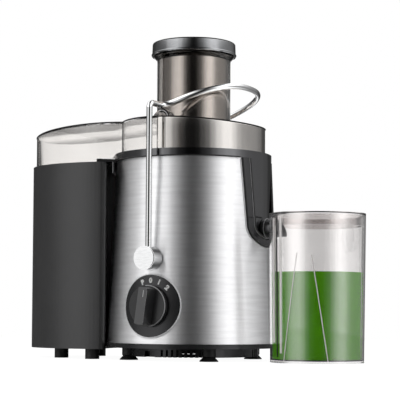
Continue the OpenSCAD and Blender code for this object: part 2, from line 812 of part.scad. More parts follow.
// Centre line of the front half: upright, bend, run over the ear, corner, loop
function loop_at(t) =
  let (x = loop_x * pow(abs(cos(t)), 0.8), y = -loop_y * pow(abs(sin(t)), 0.8))
  [x, y, rod_z + loop_slope * x];
function curve(a, b, c, t) = (1 - t) * (1 - t) * a + 2 * t * (1 - t) * b + t * t * c;
run_end = [0, -loop_y - corner, rod_z];
loop_start = loop_at(80);
arm_half = concat(
  [[0, -rod_y, pivot_z + 5.2], [0, -rod_y, rod_z - bend_r]],
  [for (a = [15 : 15 : 90]) [0, -rod_y + bend_r * (1 - cos(a)), rod_z - bend_r + bend_r * sin(a)]],
  [run_end],
  [for (i = [1 : 6]) curve(run_end, [0, -loop_y, rod_z], loop_start, i / 6)],
  [for (t = [75 : -5 : 5]) loop_at(t)]);
arm_line = concat(arm_half, [loop_at(0)], [for (i = [len(arm_half) - 1 : -1 : 0]) [arm_half[i][0], -arm_half[i][1], arm_half[i][2]]]);

function unit(v) = v / norm(v);
function heading(p, i) = unit(p[min(i + 1, len(p) - 1)] - p[max(i - 1, 0)]);

// Round rod swept along a line of points, with frames carried from ring to ring
function carried(p, i, s) = let (h = heading(p, i)) unit(s - (s * h) * h);
function frames(p, i, s) = i == len(p) ? [] : let (n = carried(p, i, s)) concat([n], frames(p, i + 1, n));
module rod(p, r, sides = 16) {
  n = frames(p, 0, [1, 0, 0]);
  last = len(p) - 1;
  points = [for (i = [0 : last], k = [0 : sides - 1])
    let (h = heading(p, i), b = cross(h, n[i]), a = k * 360 / sides)
    p[i] + r * (cos(a) * n[i] + sin(a) * b)];
  walls = [for (i = [0 : last - 1], k = [0 : sides - 1])
    [i * sides + k, (i + 1) * sides + k, (i + 1) * sides + (k + 1) % sides, i * sides + (k + 1) % sides]];
  ends = [[for (k = [0 : sides - 1]) k], [for (k = [sides - 1 : -1 : 0]) last * sides + k]];
  polyhedron(points, concat(walls, ends), convexity = 6);
}

module locking_arm() color("#d6d8da") rod(arm_line, rod_r);

// Round chrome button that carries the rod's end
module arm_button(side) color("#e4e5e7")
  difference() {
    scale([1, side, 1])
      union() {
        bar_y(button_r, shell_r(pivot_z) + 1.2, shell_r(pivot_z) + 1.2 + button_l - 0.8, pivot_z);
        bar_y(button_r - 0.8, shell_r(pivot_z) + 1.2, shell_r(pivot_z) + 1.2 + button_l, pivot_z);
      }
    translate([0, side * rod_y, pivot_z + 5]) cylinder(r = rod_r + slip / 2, h = button_r);
    scale([1, side, 1]) bar_y(pin_r, 0, shell_r(pivot_z) + 4, pivot_z);
  }
module arm_button_front() arm_button(-1);
module arm_button_back() arm_button(1);

cam_l = 7;
cam_y = pivot_inner - 1.5 - cam_l;
cam_off = 3;
cam_r = pin_r + cam_off + 1.5;
cam_angle = 90 - arm_open;
module pivot_pin(inner) bar_y(pin_r, inner, shell_r(pivot_z) + 4, pivot_z);
module pivot_pins() color("#a9acb0") {
  rotate([0, 0, 180]) pivot_pin(cam_y);
  pivot_pin(pivot_inner - 2);
}

// Cam on the front pin: it presses the interlock plunger while the arm is upright
module interlock_cam() color("#e7e2d2")
  difference() {
    bar_y(cam_r, -cam_y - cam_l, -cam_y, pivot_z - cam_off * cos(cam_angle), -cam_off * sin(cam_angle));
    bar_y(pin_r, -cam_y - cam_l - past, -cam_y + past, pivot_z);
  }

plunger_top = pivot_z - cam_r - cam_off * cos(cam_angle) - seat;
plunger_x = -2.5;
plunger_y = -cam_y - cam_l / 2;
plunger_r = 1.8;
switch_top = plunger_top - 4.2;
switch_h = 14;
module interlock_plunger() color("#c33a2e") {
  translate([plunger_x, plunger_y, plunger_top - 1.2]) cylinder(r = 3.2, h = 1.2, $fn = 32);
  translate([plunger_x, plunger_y, plunger_top - 11]) cylinder(r = plunger_r, h = 10, $fn = 32);
}
module interlock_switch() color("#26262a")
  difference() {
    translate([plunger_x - 10, -housing_ri(switch_top - switch_h) + 1.6, switch_top - switch_h])
      cube([20, housing_ri(switch_top - switch_h) - 1.6 + plunger_y + 5, switch_h]);
    translate([plunger_x, plunger_y, plunger_top - 11.2]) cylinder(r = plunger_r + run, h = 12, $fn = 32);
  }

// ---------- speed dial ----------

knob_y = shell_r(dial_z - knob_r) + seat / 2 + dial_t + seat;
grip_y = -knob_y - knob_base_l - grip_l;
grip_end = 2;       // how far the grip's ends lie inside the knob's edge
module speed_knob() color("#18181a")
  difference() {
    translate([0, 0, dial_z])
      rotate([0, knob_rest, 0])
        translate([0, 0, -dial_z])
          union() {
            bar_y(knob_r, -knob_y - knob_base_l, -knob_y, dial_z);
            intersection() {
              translate([0, 0, dial_z - knob_r])
                linear_extrude(height = 2 * knob_r)
                  polygon([[-grip_w / 2 - grip_draft, -knob_y - knob_base_l], [-grip_w / 2, grip_y],
                           [grip_w / 2, grip_y], [grip_w / 2 + grip_draft, -knob_y - knob_base_l],
                           [grip_w / 2 + grip_draft, -knob_y - 1], [-grip_w / 2 - grip_draft, -knob_y - 1]]);
              bar_y(knob_r - grip_end, grip_y - past, -knob_y, dial_z);
            }
          }
    bar_y(spindle_r, -knob_y - knob_base_l - spindle_sink, -knob_y + past, dial_z);
  }
switch_front = housing_ri(dial_z) - 1.4;
speed_switch_w = 24;
speed_switch_l = 16;
spindle_in = 10;    // how deep the spindle sits in the switch
spindle_sink = 3;   // how deep the spindle sits in the knob's grip
module knob_spindle() color("#c8cacc")
  bar_y(spindle_r, -knob_y - knob_base_l - spindle_sink + slip, -switch_front + spindle_in, dial_z);
module speed_switch() color("#2c2c30")
  difference() {
    translate([-speed_switch_w / 2, -switch_front, dial_z - speed_switch_w / 2])
      cube([speed_switch_w, speed_switch_l, speed_switch_w]);
    bar_y(spindle_r + run, -switch_front - past, -switch_front + spindle_in + 1, dial_z);
  }

board_y = stator_r + 19;
board_w = 50;
board_h = 38;
board_t = 1.6;
sink_w = 12;      // heat sink of the speed control
sink_l = 9;
sink_h = 16;
coil_block_w = 16;  // noise filter coil
coil_block_l = 7;
coil_block_h = 8;

// Speed control board, standing on the base plate behind the motor
module control_board() color("#2f5d3a") {
  translate([-board_w / 2, board_y, floor_z]) cube([board_w, board_t, board_h]);
  translate([-sink_w - 3, board_y + 1, floor_z + 10]) cube([sink_w, sink_l, sink_h]);
  translate([4, board_y + 1, floor_z + 8]) cube([coil_block_w, coil_block_l, coil_block_h]);
}

// ---------- pulp bin ----------

bin_top = top_z - 0.6;
bin_hollow_r = rim_r + bin_gap;
corner_r = 6;
module bin_outline(inset)
  offset(r = corner_r - inset)
    offset(delta = -corner_r)
      difference() {
        polygon(oval(-bin_mid, bin_a, bin_b, bin_power));
        circle(r = bin_hollow_r);
      }
module pulp_bin() color("#2b2c2e")
  difference() {
    translate([0, 0, bin_foot_h]) linear_extrude(height = bin_top - bin_foot_h) bin_outline(0);
    translate([0, 0, bin_foot_h + 3]) linear_extrude(height = bin_top) bin_outline(bin_t);
  }
bin_foot_out = [bin_mid + 0.37 * bin_a, 0.571 * bin_b];
bin_foot_in = [bin_mid - 0.2176 * bin_a, 0.8 * bin_b];
module bin_feet() color("#141414")
  for (side = [-1, 1], p = [bin_foot_out, bin_foot_in])
    translate([-p[0], side * p[1], 0]) cylinder(r = bin_foot_r, h = bin_foot_h, $fn = 48);

// ---------- juice jug ----------

mouth_w = 2 * spout_r + 4;
mouth_z = spout_z - spout_r - 2.5;
lid_ri = jug_r - jug_t - seat;
module spout_notch(top)
  translate([0, -mouth_w / 2, mouth_z]) cube([jug_x - jug_r / 2, mouth_w, top - mouth_z]);

// Clear jug with a notch in its rim for the spout
module juice_jug() color("#d8dcdc", 0.35)
  difference() {
    translate([jug_x, 0, 0]) cylinder(r1 = jug_low_r, r2 = jug_r, h = jug_h);
    translate([jug_x, 0, 3]) cylinder(r1 = jug_low_r - jug_t, r2 = jug_r - jug_t, h = jug_h - 2.99);
    spout_notch(jug_h + past);
  }

// Lid: flat top on the rim, with a skirt inside the jug that is open at the spout
module jug_lid() color("#55504c", 0.6)
  difference() {
    translate([jug_x, 0, 0])
      union() {
        translate([0, 0, jug_h]) cylinder(r = jug_r, h = lid_t);
        ring(lid_ri - 0.4, lid_ri - 2.2, jug_h - lid_skirt, lid_skirt + 0.5);
      }
    spout_notch(jug_h);
  }

// ---------- assembly ----------

base_plate();
suction_feet();
base_screws();
body_shell();
inner_housing();
spout_trim();
dial_plate();
cord_gland();
upper_bracket();
lower_bracket();
motor_mounts();
stator_core();
field_windings();
upper_bearing();
lower_bearing();
brush_holders();
shaft_seal();
speed_switch();
control_board();
interlock_switch();
pivot_bushes();
motor_shaft();
rotor_core();
commutator();
cooling_fan();
drive_coupling();
filter_basket();
grater_disc();
juice_collector();
spout_nozzle();
cover_seal();
top_cover();
pusher_body();
pusher_cap();
locking_arm();
arm_button_front();
arm_button_back();
pivot_pins();
interlock_cam();
interlock_plunger();
speed_knob();
knob_spindle();
pulp_bin();
bin_feet();
juice_jug();
jug_lid();
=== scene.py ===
import math

import bmesh
import bpy
from mathutils import Matrix, Vector


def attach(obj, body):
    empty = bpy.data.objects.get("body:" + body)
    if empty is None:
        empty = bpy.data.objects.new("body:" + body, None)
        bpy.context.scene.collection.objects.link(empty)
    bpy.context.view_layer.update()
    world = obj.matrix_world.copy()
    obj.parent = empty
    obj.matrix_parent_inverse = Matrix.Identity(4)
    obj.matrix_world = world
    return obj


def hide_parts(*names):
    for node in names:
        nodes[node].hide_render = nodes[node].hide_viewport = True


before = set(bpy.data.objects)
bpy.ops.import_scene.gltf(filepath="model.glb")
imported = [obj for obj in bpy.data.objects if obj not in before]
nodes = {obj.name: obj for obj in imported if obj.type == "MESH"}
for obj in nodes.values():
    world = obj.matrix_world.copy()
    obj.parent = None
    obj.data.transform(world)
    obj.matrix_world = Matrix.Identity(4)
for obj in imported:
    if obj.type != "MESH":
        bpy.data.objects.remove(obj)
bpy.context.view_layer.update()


# ---------------------------------------------------------------------------
# Base plate: a black injection-moulded plate with a ventilation skirt under it.
# Four suction feet are pressed into its rim, and four screws hold it to the body.
# A black baffle ring stands behind the skirt's slots as a dark sheet in place of the shade inside the
# base, with three openings of its own.
# ---------------------------------------------------------------------------


def effect(name, inputs, outputs):
    """An empty shader group with its named sockets, and its input and output nodes."""
    group = bpy.data.node_groups.new(name, "ShaderNodeTree")
    for label, kind, value in inputs:
        socket = group.interface.new_socket(name=label, in_out="INPUT", socket_type=kind)
        socket.default_value = value
    for label, kind in outputs:
        group.interface.new_socket(name=label, in_out="OUTPUT", socket_type=kind)
    return group, group.nodes.new("NodeGroupInput"), group.nodes.new("NodeGroupOutput")


def set_values(node, values):
    """Gives a node's sockets their values, by name or by place."""
    for socket, value in values.items():
        node.inputs[socket].default_value = value


def add(tree, kind, values=None, **settings):
    """A new shader node with its settings, and then the values of its sockets."""
    node = tree.nodes.new("ShaderNode" + kind)
    for setting, value in settings.items():
        setattr(node, setting, value)
    set_values(node, values or {})
    return node


def wire(tree, *pairs):
    """Links each source socket to the target socket that it is paired with."""
    for source, target in pairs:
        tree.links.new(source, target)


def new_material(name):
    """A new material, its node tree and its shader."""
    material = bpy.data.materials.new(name)
    material.use_nodes = True
    tree = material.node_tree
    return material, tree, tree.nodes["Principled BSDF"]


def skinned(name, group, values):
    """A material that takes its colour, gloss and normal from a skin group, and its shader."""
    material, tree, shader = new_material(name)
    skin = add(tree, "Group", values, node_tree=group)
    for output, socket in (("Colour", "Base Color"), ("Roughness", "Roughness"), ("Normal", "Normal")):
        wire(tree, (skin.outputs[output], shader.inputs[socket]))
    return material, shader


# Moulded skin: the fine spark-eroded texture of a plastic mould, and faint uneven gloss
moulded_skin, skin_in, skin_out = effect(
    "moulded skin",
    [
        ("Colour", "NodeSocketColor", (0.03, 0.03, 0.03, 1)),
        ("Roughness", "NodeSocketFloat", 0.35),
        ("Grain", "NodeSocketFloat", 1400.0),
        ("Depth", "NodeSocketFloat", 0.05),
    ],
    [
        ("Colour", "NodeSocketColor"),
        ("Roughness", "NodeSocketFloat"),
        ("Normal", "NodeSocketVector"),
    ],
)
skin_place = add(moulded_skin, "TexCoord")
skin_grain = add(moulded_skin, "TexNoise", {"Detail": 2.0})
skin_drift = add(moulded_skin, "TexNoise", {"Scale": 22.0, "Detail": 3.0})
skin_tone = add(moulded_skin, "MapRange", {"To Min": 0.9, "To Max": 1.1})
skin_mix = add(moulded_skin, "VectorMath", operation="SCALE")
skin_gloss = add(moulded_skin, "Math", operation="MULTIPLY")
skin_bump = add(moulded_skin, "Bump", {"Distance": 0.0002})
wire(
    moulded_skin,
    (skin_place.outputs["Object"], skin_grain.inputs["Vector"]),
    (skin_place.outputs["Object"], skin_drift.inputs["Vector"]),
    (skin_in.outputs["Grain"], skin_grain.inputs["Scale"]),
    (skin_drift.outputs["Fac"], skin_tone.inputs["Value"]),
    (skin_in.outputs["Colour"], skin_mix.inputs[0]),
    (skin_tone.outputs["Result"], skin_mix.inputs["Scale"]),
    (skin_mix.outputs["Vector"], skin_out.inputs["Colour"]),
    (skin_in.outputs["Roughness"], skin_gloss.inputs[0]),
    (skin_tone.outputs["Result"], skin_gloss.inputs[1]),
    (skin_gloss.outputs["Value"], skin_out.inputs["Roughness"]),
    (skin_grain.outputs["Fac"], skin_bump.inputs["Height"]),
    (skin_in.outputs["Depth"], skin_bump.inputs["Strength"]),
    (skin_bump.outputs["Normal"], skin_out.inputs["Normal"]),
)


def moulded(name, colour, roughness, grain=1400.0, depth=0.05, metallic=0.0, ior=1.5):
    """A moulded plastic or rubber, with its own colour, gloss and mould texture."""
    values = {"Colour": (*colour, 1), "Roughness": roughness, "Grain": grain, "Depth": depth}
    material, shader = skinned(name, moulded_skin, values)
    set_values(shader, {"Metallic": metallic, "IOR": ior})
    return material


def finish_node(node, material):
    """Gives a CAD node its finish."""
    mesh = nodes[node].data
    mesh.materials.clear()
    mesh.materials.append(material)


black_gloss = moulded("black gloss plastic", (0.05, 0.05, 0.052), 0.22, 1600, 0.01, metallic=0.6)
black_rubber = moulded("black rubber", (0.014, 0.014, 0.014), 0.55, 900, 0.15)

# Metal skin: drawn, cast or plated metal, with fine scratches and uneven polish
metal_skin, metal_in, metal_out = effect(
    "metal skin",
    [
        ("Colour", "NodeSocketColor", (0.6, 0.6, 0.6, 1)),
        ("Roughness", "NodeSocketFloat", 0.3),
        ("Scratches", "NodeSocketFloat", 300.0),
        ("Depth", "NodeSocketFloat", 0.05),
    ],
    [
        ("Colour", "NodeSocketColor"),
        ("Roughness", "NodeSocketFloat"),
        ("Normal", "NodeSocketVector"),
    ],
)
metal_place = add(metal_skin, "TexCoord")
metal_stretch = add(metal_skin, "Mapping", {"Scale": (1.0, 1.0, 6.0)})
metal_lines = add(metal_skin, "TexNoise", {"Detail": 4.0})
metal_tone = add(metal_skin, "MapRange", {"To Min": 0.86, "To Max": 1.14})
metal_mix = add(metal_skin, "VectorMath", operation="SCALE")
metal_gloss = add(metal_skin, "Math", operation="MULTIPLY")
metal_bump = add(metal_skin, "Bump", {"Distance": 0.0001})
wire(
    metal_skin,
    (metal_place.outputs["Object"], metal_stretch.inputs["Vector"]),
    (metal_stretch.outputs["Vector"], metal_lines.inputs["Vector"]),
    (metal_in.outputs["Scratches"], metal_lines.inputs["Scale"]),
    (metal_lines.outputs["Fac"], metal_tone.inputs["Value"]),
    (metal_in.outputs["Colour"], metal_mix.inputs[0]),
    (metal_tone.outputs["Result"], metal_mix.inputs["Scale"]),
    (metal_mix.outputs["Vector"], metal_out.inputs["Colour"]),
    (metal_in.outputs["Roughness"], metal_gloss.inputs[0]),
    (metal_tone.outputs["Result"], metal_gloss.inputs[1]),
    (metal_gloss.outputs["Value"], metal_out.inputs["Roughness"]),
    (metal_lines.outputs["Fac"], metal_bump.inputs["Height"]),
    (metal_in.outputs["Depth"], metal_bump.inputs["Strength"]),
    (metal_bump.outputs["Normal"], metal_out.inputs["Normal"]),
)


def metal(name, colour, roughness, scratches=300.0, depth=0.05):
    """A bare or plated metal."""
    values = {"Colour": (*colour, 1), "Roughness": roughness, "Scratches": scratches, "Depth": depth}
    material, shader = skinned(name, metal_skin, values)
    set_values(shader, {"Metallic": 1.0})
    return material


zinc_steel = metal("zinc-plated steel", (0.58, 0.59, 0.61), 0.32, 500, 0.08)

finish_node("base_plate", black_gloss)
finish_node("suction_feet", black_rubber)
finish_node("base_screws", zinc_steel)

baffle_r = 0.0690
baffle_t = 0.0008
baffle_bands = ((0.0042, 0.0078, ()), (0.0078, 0.0106, (-69.4, -64.8, -60.2)), (0.0106, 0.0134, ()))
opening_half = 1.6
baffle_steps = 180
merge_gap = 0.00001


def at(radius, degrees, height):
    """The point at a radius, an angle round the upright axis and a height."""
    turn = math.radians(degrees)
    return (radius * math.cos(turn), radius * math.sin(turn), height)


def add_piece(name, data, *materials):
    """Puts a mesh or a curve into the scene as a piece, with its materials."""
    piece = bpy.data.objects.new(name, data)
    bpy.context.scene.collection.objects.link(piece)
    for material in materials:
        data.materials.append(material)
    return piece


# The baffle is a black sheet standing in for the dark shade inside the base: it blocks the view through
# the slots.
baffle_shape = bmesh.new()
for band_low, band_high, open_at in baffle_bands:
    for step in range(baffle_steps):
        start = -180 + 360 * step // baffle_steps
        end = start + 360 // baffle_steps
        if any(abs((start + end) / 2 - degrees) < opening_half for degrees in open_at):
            continue
        corners = ((start, band_low), (end, band_low), (end, band_high), (start, band_high))
        baffle_shape.faces.new([baffle_shape.verts.new(at(baffle_r, *corner)) for corner in corners])
bmesh.ops.remove_doubles(baffle_shape, verts=baffle_shape.verts, dist=merge_gap)
bmesh.ops.solidify(baffle_shape, geom=baffle_shape.faces, thickness=baffle_t)
baffle_mesh = bpy.data.meshes.new("base_shade_baffle")
baffle_shape.to_mesh(baffle_mesh)
baffle_shape.free()
base_shade_baffle = add_piece("base_shade_baffle", baffle_mesh, black_gloss)
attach(base_shade_baffle, "base")


# ---------------------------------------------------------------------------
# Body shell: stainless steel sheet, rolled to a slight cone and brushed round.
# The brushing runs round the body, so lights stretch upwards and stay in stripes.
# ---------------------------------------------------------------------------

round_brushing, brush_in, brush_out = effect(
    "round brushing",
    [
        ("Lines", "NodeSocketFloat", 1200.0),
        ("Length", "NodeSocketFloat", 3.0),
    ],
    [
        ("Line", "NodeSocketFloat"),
        ("Band", "NodeSocketFloat"),
    ],
)
brush_place = add(round_brushing, "TexCoord")
brush_axes = add(round_brushing, "SeparateXYZ")
brush_turn = add(round_brushing, "Math", operation="ARCTAN2")
brush_long = add(round_brushing, "Math", operation="MULTIPLY")
brush_high = add(round_brushing, "Math", operation="MULTIPLY")
brush_wide = add(round_brushing, "Math", {1: 0.22}, operation="MULTIPLY")
brush_line_at = add(round_brushing, "CombineXYZ")
brush_band_at = add(round_brushing, "CombineXYZ")
brush_line = add(round_brushing, "TexNoise", {"Scale": 1.0, "Detail": 3.0})
brush_band = add(round_brushing, "TexNoise", {"Scale": 1.0, "Detail": 2.0})
wire(
    round_brushing,
    (brush_place.outputs["Object"], brush_axes.inputs["Vector"]),
    (brush_axes.outputs["Y"], brush_turn.inputs[0]),
    (brush_axes.outputs["X"], brush_turn.inputs[1]),
    (brush_turn.outputs["Value"], brush_long.inputs[0]),
    (brush_in.outputs["Length"], brush_long.inputs[1]),
    (brush_axes.outputs["Z"], brush_high.inputs[0]),
    (brush_in.outputs["Lines"], brush_high.inputs[1]),
    (brush_high.outputs["Value"], brush_wide.inputs[0]),
    (brush_long.outputs["Value"], brush_line_at.inputs["X"]),
    (brush_high.outputs["Value"], brush_line_at.inputs["Y"]),
    (brush_long.outputs["Value"], brush_band_at.inputs["X"]),
    (brush_wide.outputs["Value"], brush_band_at.inputs["Y"]),
    (brush_line_at.outputs["Vector"], brush_line.inputs["Vector"]),
    (brush_band_at.outputs["Vector"], brush_band.inputs["Vector"]),
    (brush_line.outputs["Fac"], brush_out.inputs["Line"]),
    (brush_band.outputs["Fac"], brush_out.inputs["Band"]),
)


def brushed(name, colour, roughness, along, lines, length, depth):
    """Steel brushed round the upright axis. Along is how much the light stretches upwards."""
    material, tree, shader = new_material(name)
    grain = add(tree, "Group", {"Lines": lines, "Length": length}, node_tree=round_brushing)
    tone = add(tree, "MapRange", {"From Min": 0.3, "From Max": 0.7, "To Min": 0.94, "To Max": 1.06})
    tint = add(tree, "VectorMath", {0: colour}, operation="SCALE")
    gloss = add(tree, "MapRange", {"To Min": roughness - 0.03, "To Max": roughness + 0.03})
    bump = add(tree, "Bump", {"Distance": 0.0001, "Strength": depth})
    tangent = add(tree, "Tangent", direction_type="RADIAL", axis="Z")
    wire(
        tree,
        (grain.outputs["Band"], tone.inputs["Value"]),
        (tone.outputs["Result"], tint.inputs["Scale"]),
        (tint.outputs["Vector"], shader.inputs["Base Color"]),
        (grain.outputs["Band"], gloss.inputs["Value"]),
        (gloss.outputs["Result"], shader.inputs["Roughness"]),
        (grain.outputs["Line"], bump.inputs["Height"]),
        (bump.outputs["Normal"], shader.inputs["Normal"]),
        (tangent.outputs["Tangent"], shader.inputs["Tangent"]),
    )
    set_values(shader, {"Metallic": 1.0, "Anisotropic": along, "Anisotropic Rotation": 0.25})
    return material


brushed_steel = brushed("brushed steel", (0.93, 0.93, 0.94), 0.40, 1.0, 1300, 2.2, 0.12)
finish_node("body_shell", brushed_steel)


# ---------------------------------------------------------------------------
# Inner housing, mains gland and the black frame round the spout panel.
# The housing is black plastic behind the steel; the frame clips over the steel's edge.
# A painted highlight runs along its outer edge, painted shade lines run beside it and in the
# groove along the panel, and a painted grey highlight runs along its inner edge.
# ---------------------------------------------------------------------------

housing_black = moulded("housing plastic", (0.035, 0.035, 0.038), 0.5, 1200, 0.08)
trim_black = moulded("trim plastic", (0.1, 0.1, 0.103), 0.2, 1500, 0.01, metallic=0.8)
finish_node("inner_housing", housing_black)
finish_node("cord_gland", black_rubber)
finish_node("spout_trim", trim_black)


def bead(name, points, radius, material, closed=False, roundness=3):
    """A round rod, or a thin line of painted highlight or painted shade, along the given points."""
    curve = bpy.data.curves.new(name, "CURVE")
    curve.dimensions = "3D"
    curve.bevel_depth = radius
    curve.bevel_resolution = roundness
    curve.use_fill_caps = True
    line = curve.splines.new("POLY")
    line.points.add(len(points) - 1)
    for point, place in zip(line.points, points):
        point.co = (*place, 1)
    line.use_cyclic_u = closed
    line.use_smooth = True
    return add_piece(name, curve, material)


spout_top = 0.2160
spout_mid = 0.1450
spout_half_top = 0.0362
spout_half = 0.0325
spout_drop = 0.0225
trim_width = 0.0100
shell_low_r = 0.094
shell_low = 0.0185
shell_h = 0.198
shell_taper = 0.009


def body_r(z):
    """Outer radius of the steel at a height."""
    return shell_low_r - shell_taper * (z - shell_low) / shell_h


def spout_line(inset, lift, top):
    """The U-shaped outline round the spout panel, moved inwards and lifted off the steel."""
    side = []
    for step in range(9):
        z = top + (spout_mid - top) * step / 8
        part = (z - spout_mid) / (spout_top - spout_mid)
        side.append((spout_half + (spout_half_top - spout_half) * part - inset, z))
    for step in range(1, 17):
        turn = math.radians(90 * step / 16)
        y = (spout_half - inset) * math.cos(turn)
        side.append((y, spout_mid - (spout_drop - inset) * math.sin(turn)))
    outline = [(-y, z) for y, z in side] + [(y, z) for y, z in reversed(side[:-1])]
    points = []
    for y, z in outline:
        r = body_r(z) + lift
        points.append((math.sqrt(r * r - y * y), y, z))
    return points


# Beads of painted light along the frame: a white painted highlight on the outer edge, black painted shade
# lines beside it and in the groove, and a grey painted highlight on the inner edge.
edge_highlight_white = moulded("painted edge highlight", (0.88, 0.88, 0.89), 0.35, 900, 0.01, metallic=0.25)
painted_shade_black = moulded("groove shade", (0.006, 0.006, 0.006), 0.5)
edge_highlight_grey = moulded("painted grey highlight plastic", (0.42, 0.42, 0.43), 0.3)
for name, inset, lift, top, radius, material in (
    ("trim_highlight_edge", -0.0010, 0.0001, 0.2145, 0.0007, edge_highlight_white),
    ("trim_shade_edge", 0.0004, 0.0012, 0.2155, 0.0008, painted_shade_black),
    ("trim_groove_shade", trim_width + 0.0006, 0.0013, 0.2155, 0.0010, painted_shade_black),
    ("trim_inner_highlight", trim_width - 0.0008, 0.0016, 0.2160, 0.00035, edge_highlight_grey),
):
    line = bead(name, spout_line(inset, lift, top), radius, material)
    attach(line, "base")


# ---------------------------------------------------------------------------
# Motor and switches inside the body: cast brackets, laminated cores, enamelled
# copper, a riveted commutator, plastic fan and a green control board.
# ---------------------------------------------------------------------------

cast_alloy = metal("cast alloy", (0.52, 0.53, 0.54), 0.5, 220, 0.3)
core_steel = metal("laminated steel", (0.33, 0.34, 0.36), 0.42, 700, 0.3)
copper = metal("enamelled copper", (0.6, 0.25, 0.1), 0.3, 500, 0.3)
brown_plastic = moulded("brown phenolic", (0.09, 0.05, 0.03), 0.45)
seal_rubber = moulded("shaft seal rubber", (0.08, 0.02, 0.02), 0.5)
white_plastic = moulded("white acetal", (0.72, 0.72, 0.7), 0.35)
red_plastic = moulded("red acetal", (0.5, 0.04, 0.03), 0.35)
fan_plastic = moulded("fan plastic", (0.07, 0.075, 0.085), 0.4)
board_green = moulded("board laminate", (0.02, 0.11, 0.045), 0.35, 500, 0.1)
for node in ("upper_bracket", "lower_bracket", "drive_coupling"):
    finish_node(node, cast_alloy)
for node in ("stator_core", "rotor_core"):
    finish_node(node, core_steel)
for node in ("field_windings", "commutator"):
    finish_node(node, copper)
for node in ("upper_bearing", "lower_bearing", "motor_shaft", "knob_spindle", "pivot_pins"):
    finish_node(node, zinc_steel)
for node in ("speed_switch", "interlock_switch"):
    finish_node(node, housing_black)
for node in ("pivot_bushes", "interlock_cam"):
    finish_node(node, white_plastic)
finish_node("motor_mounts", black_rubber)
finish_node("brush_holders", brown_plastic)
finish_node("shaft_seal", seal_rubber)
finish_node("control_board", board_green)
finish_node("cooling_fan", fan_plastic)
finish_node("interlock_plunger", red_plastic)


# ---------------------------------------------------------------------------
# Filter basket and grater disc: a stainless cone with fine openings on a flat floor,
# and a stamped disc with raised teeth, both driven by the coupling.
# ---------------------------------------------------------------------------

mesh_steel = brushed("mesh steel", (0.62, 0.63, 0.64), 0.35, 0.3, 900, 3.0, 0.2)
grater_steel = metal("grater steel", (0.7, 0.71, 0.72), 0.22, 600, 0.1)
finish_node("filter_basket", mesh_steel)
finish_node("grater_disc", grater_steel)


# ---------------------------------------------------------------------------
# Juice collector: glossy black bowl with its ring, pulp lip and spout panel,
# the pressed-in nozzle, and the grey seal that the cover stands on. Thin beads of
# painted highlight run along the nozzle's flange and the pulp lip, and a bead of
# painted shadow runs under the ring.
# ---------------------------------------------------------------------------

collector_black = moulded("collector plastic", (0.17, 0.17, 0.175), 0.1, 1500, 0.004, metallic=1.0)
nozzle_black = moulded("nozzle plastic", (0.12, 0.12, 0.123), 0.16, 1500, 0.01, metallic=0.7)
seal_grey = moulded("seal silicone", (0.2, 0.2, 0.21), 0.5)
finish_node("juice_collector", collector_black)
finish_node("spout_nozzle", nozzle_black)
finish_node("cover_seal", seal_grey)

# A grey bead of painted highlight round the nozzle's flange.
nozzle_x = 0.0910
nozzle_z = 0.1425
nozzle_r = 0.0105
flange_points = []
for step in range(48):
    turn = 2 * math.pi * step / 48
    flange_points.append((nozzle_x, nozzle_r * math.cos(turn), nozzle_z + nozzle_r * math.sin(turn)))
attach(bead("nozzle_flange_highlight", flange_points, 0.0004, edge_highlight_grey, closed=True), "base")

# Grey beads of painted highlight along the pulp lip and down its two ends.
lip_r = 0.1065
lip_z = 0.2192
lip_half = 36.5
lip_points = [at(lip_r, 180 - lip_half + 2 * lip_half * step / 32, lip_z) for step in range(33)]
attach(bead("pulp_lip_highlight", lip_points, 0.0004, edge_highlight_grey), "base")

lip_end_r = 0.0894
lip_end_half = 36.8
for name, degrees in (
    ("pulp_lip_end_highlight_front", 180 + lip_end_half),
    ("pulp_lip_end_highlight_back", 180 - lip_end_half),
):
    ends = [at(lip_end_r, degrees, z) for z in (0.2160, 0.2042)]
    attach(bead(name, ends, 0.0006, edge_highlight_grey), "base")

# A black bead of painted shadow under the ring's lower edge.
ring_edge_r = 0.0866
ring_edge_z = 0.2166
panel_half = 26
ring_points = []
for degrees in range(0, 360, 3):
    if panel_half < degrees < 360 - panel_half:
        ring_points.append(at(ring_edge_r, degrees, ring_edge_z))
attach(bead("ring_lower_shadow", ring_points, 0.0007, painted_shade_black), "base")


# ---------------------------------------------------------------------------
# Cover, feed chute and pusher: smoky clear plastic, moulded with a high gloss, with
# an ear for the arm at the front and the back and a guide rib inside the chute, its pale
# colour a painted highlight. Dark lines of painted shade run along the cover's top edge
# and corners and round the ears, with a painted highlight between the ear lines, and the
# chute's flange under the cap is painted dark as its shadow.
# The pusher's cap is gunmetal lacquer over plastic, with painted shade on its top and lower edges.
# ---------------------------------------------------------------------------


def clear(name, colour, roughness, metallic, ior=1.49):
    """A clear or smoky moulded plastic with faint flow marks in its gloss."""
    material, tree, shader = new_material(name)
    place = add(tree, "TexCoord")
    flow = add(tree, "TexNoise", {"Scale": 35.0, "Detail": 3.0})
    tone = add(tree, "MapRange", {"To Min": 0.96, "To Max": 1.04})
    tint = add(tree, "VectorMath", {0: colour}, operation="SCALE")
    gloss = add(tree, "MapRange", {"To Min": roughness * 0.7, "To Max": roughness * 1.3})
    wire(
        tree,
        (place.outputs["Object"], flow.inputs["Vector"]),
        (flow.outputs["Fac"], tone.inputs["Value"]),
        (tone.outputs["Result"], tint.inputs["Scale"]),
        (tint.outputs["Vector"], shader.inputs["Base Color"]),
        (flow.outputs["Fac"], gloss.inputs["Value"]),
        (gloss.outputs["Result"], shader.inputs["Roughness"]),
    )
    set_values(shader, {"Metallic": metallic, "Transmission Weight": 1.0, "IOR": ior})
    return material


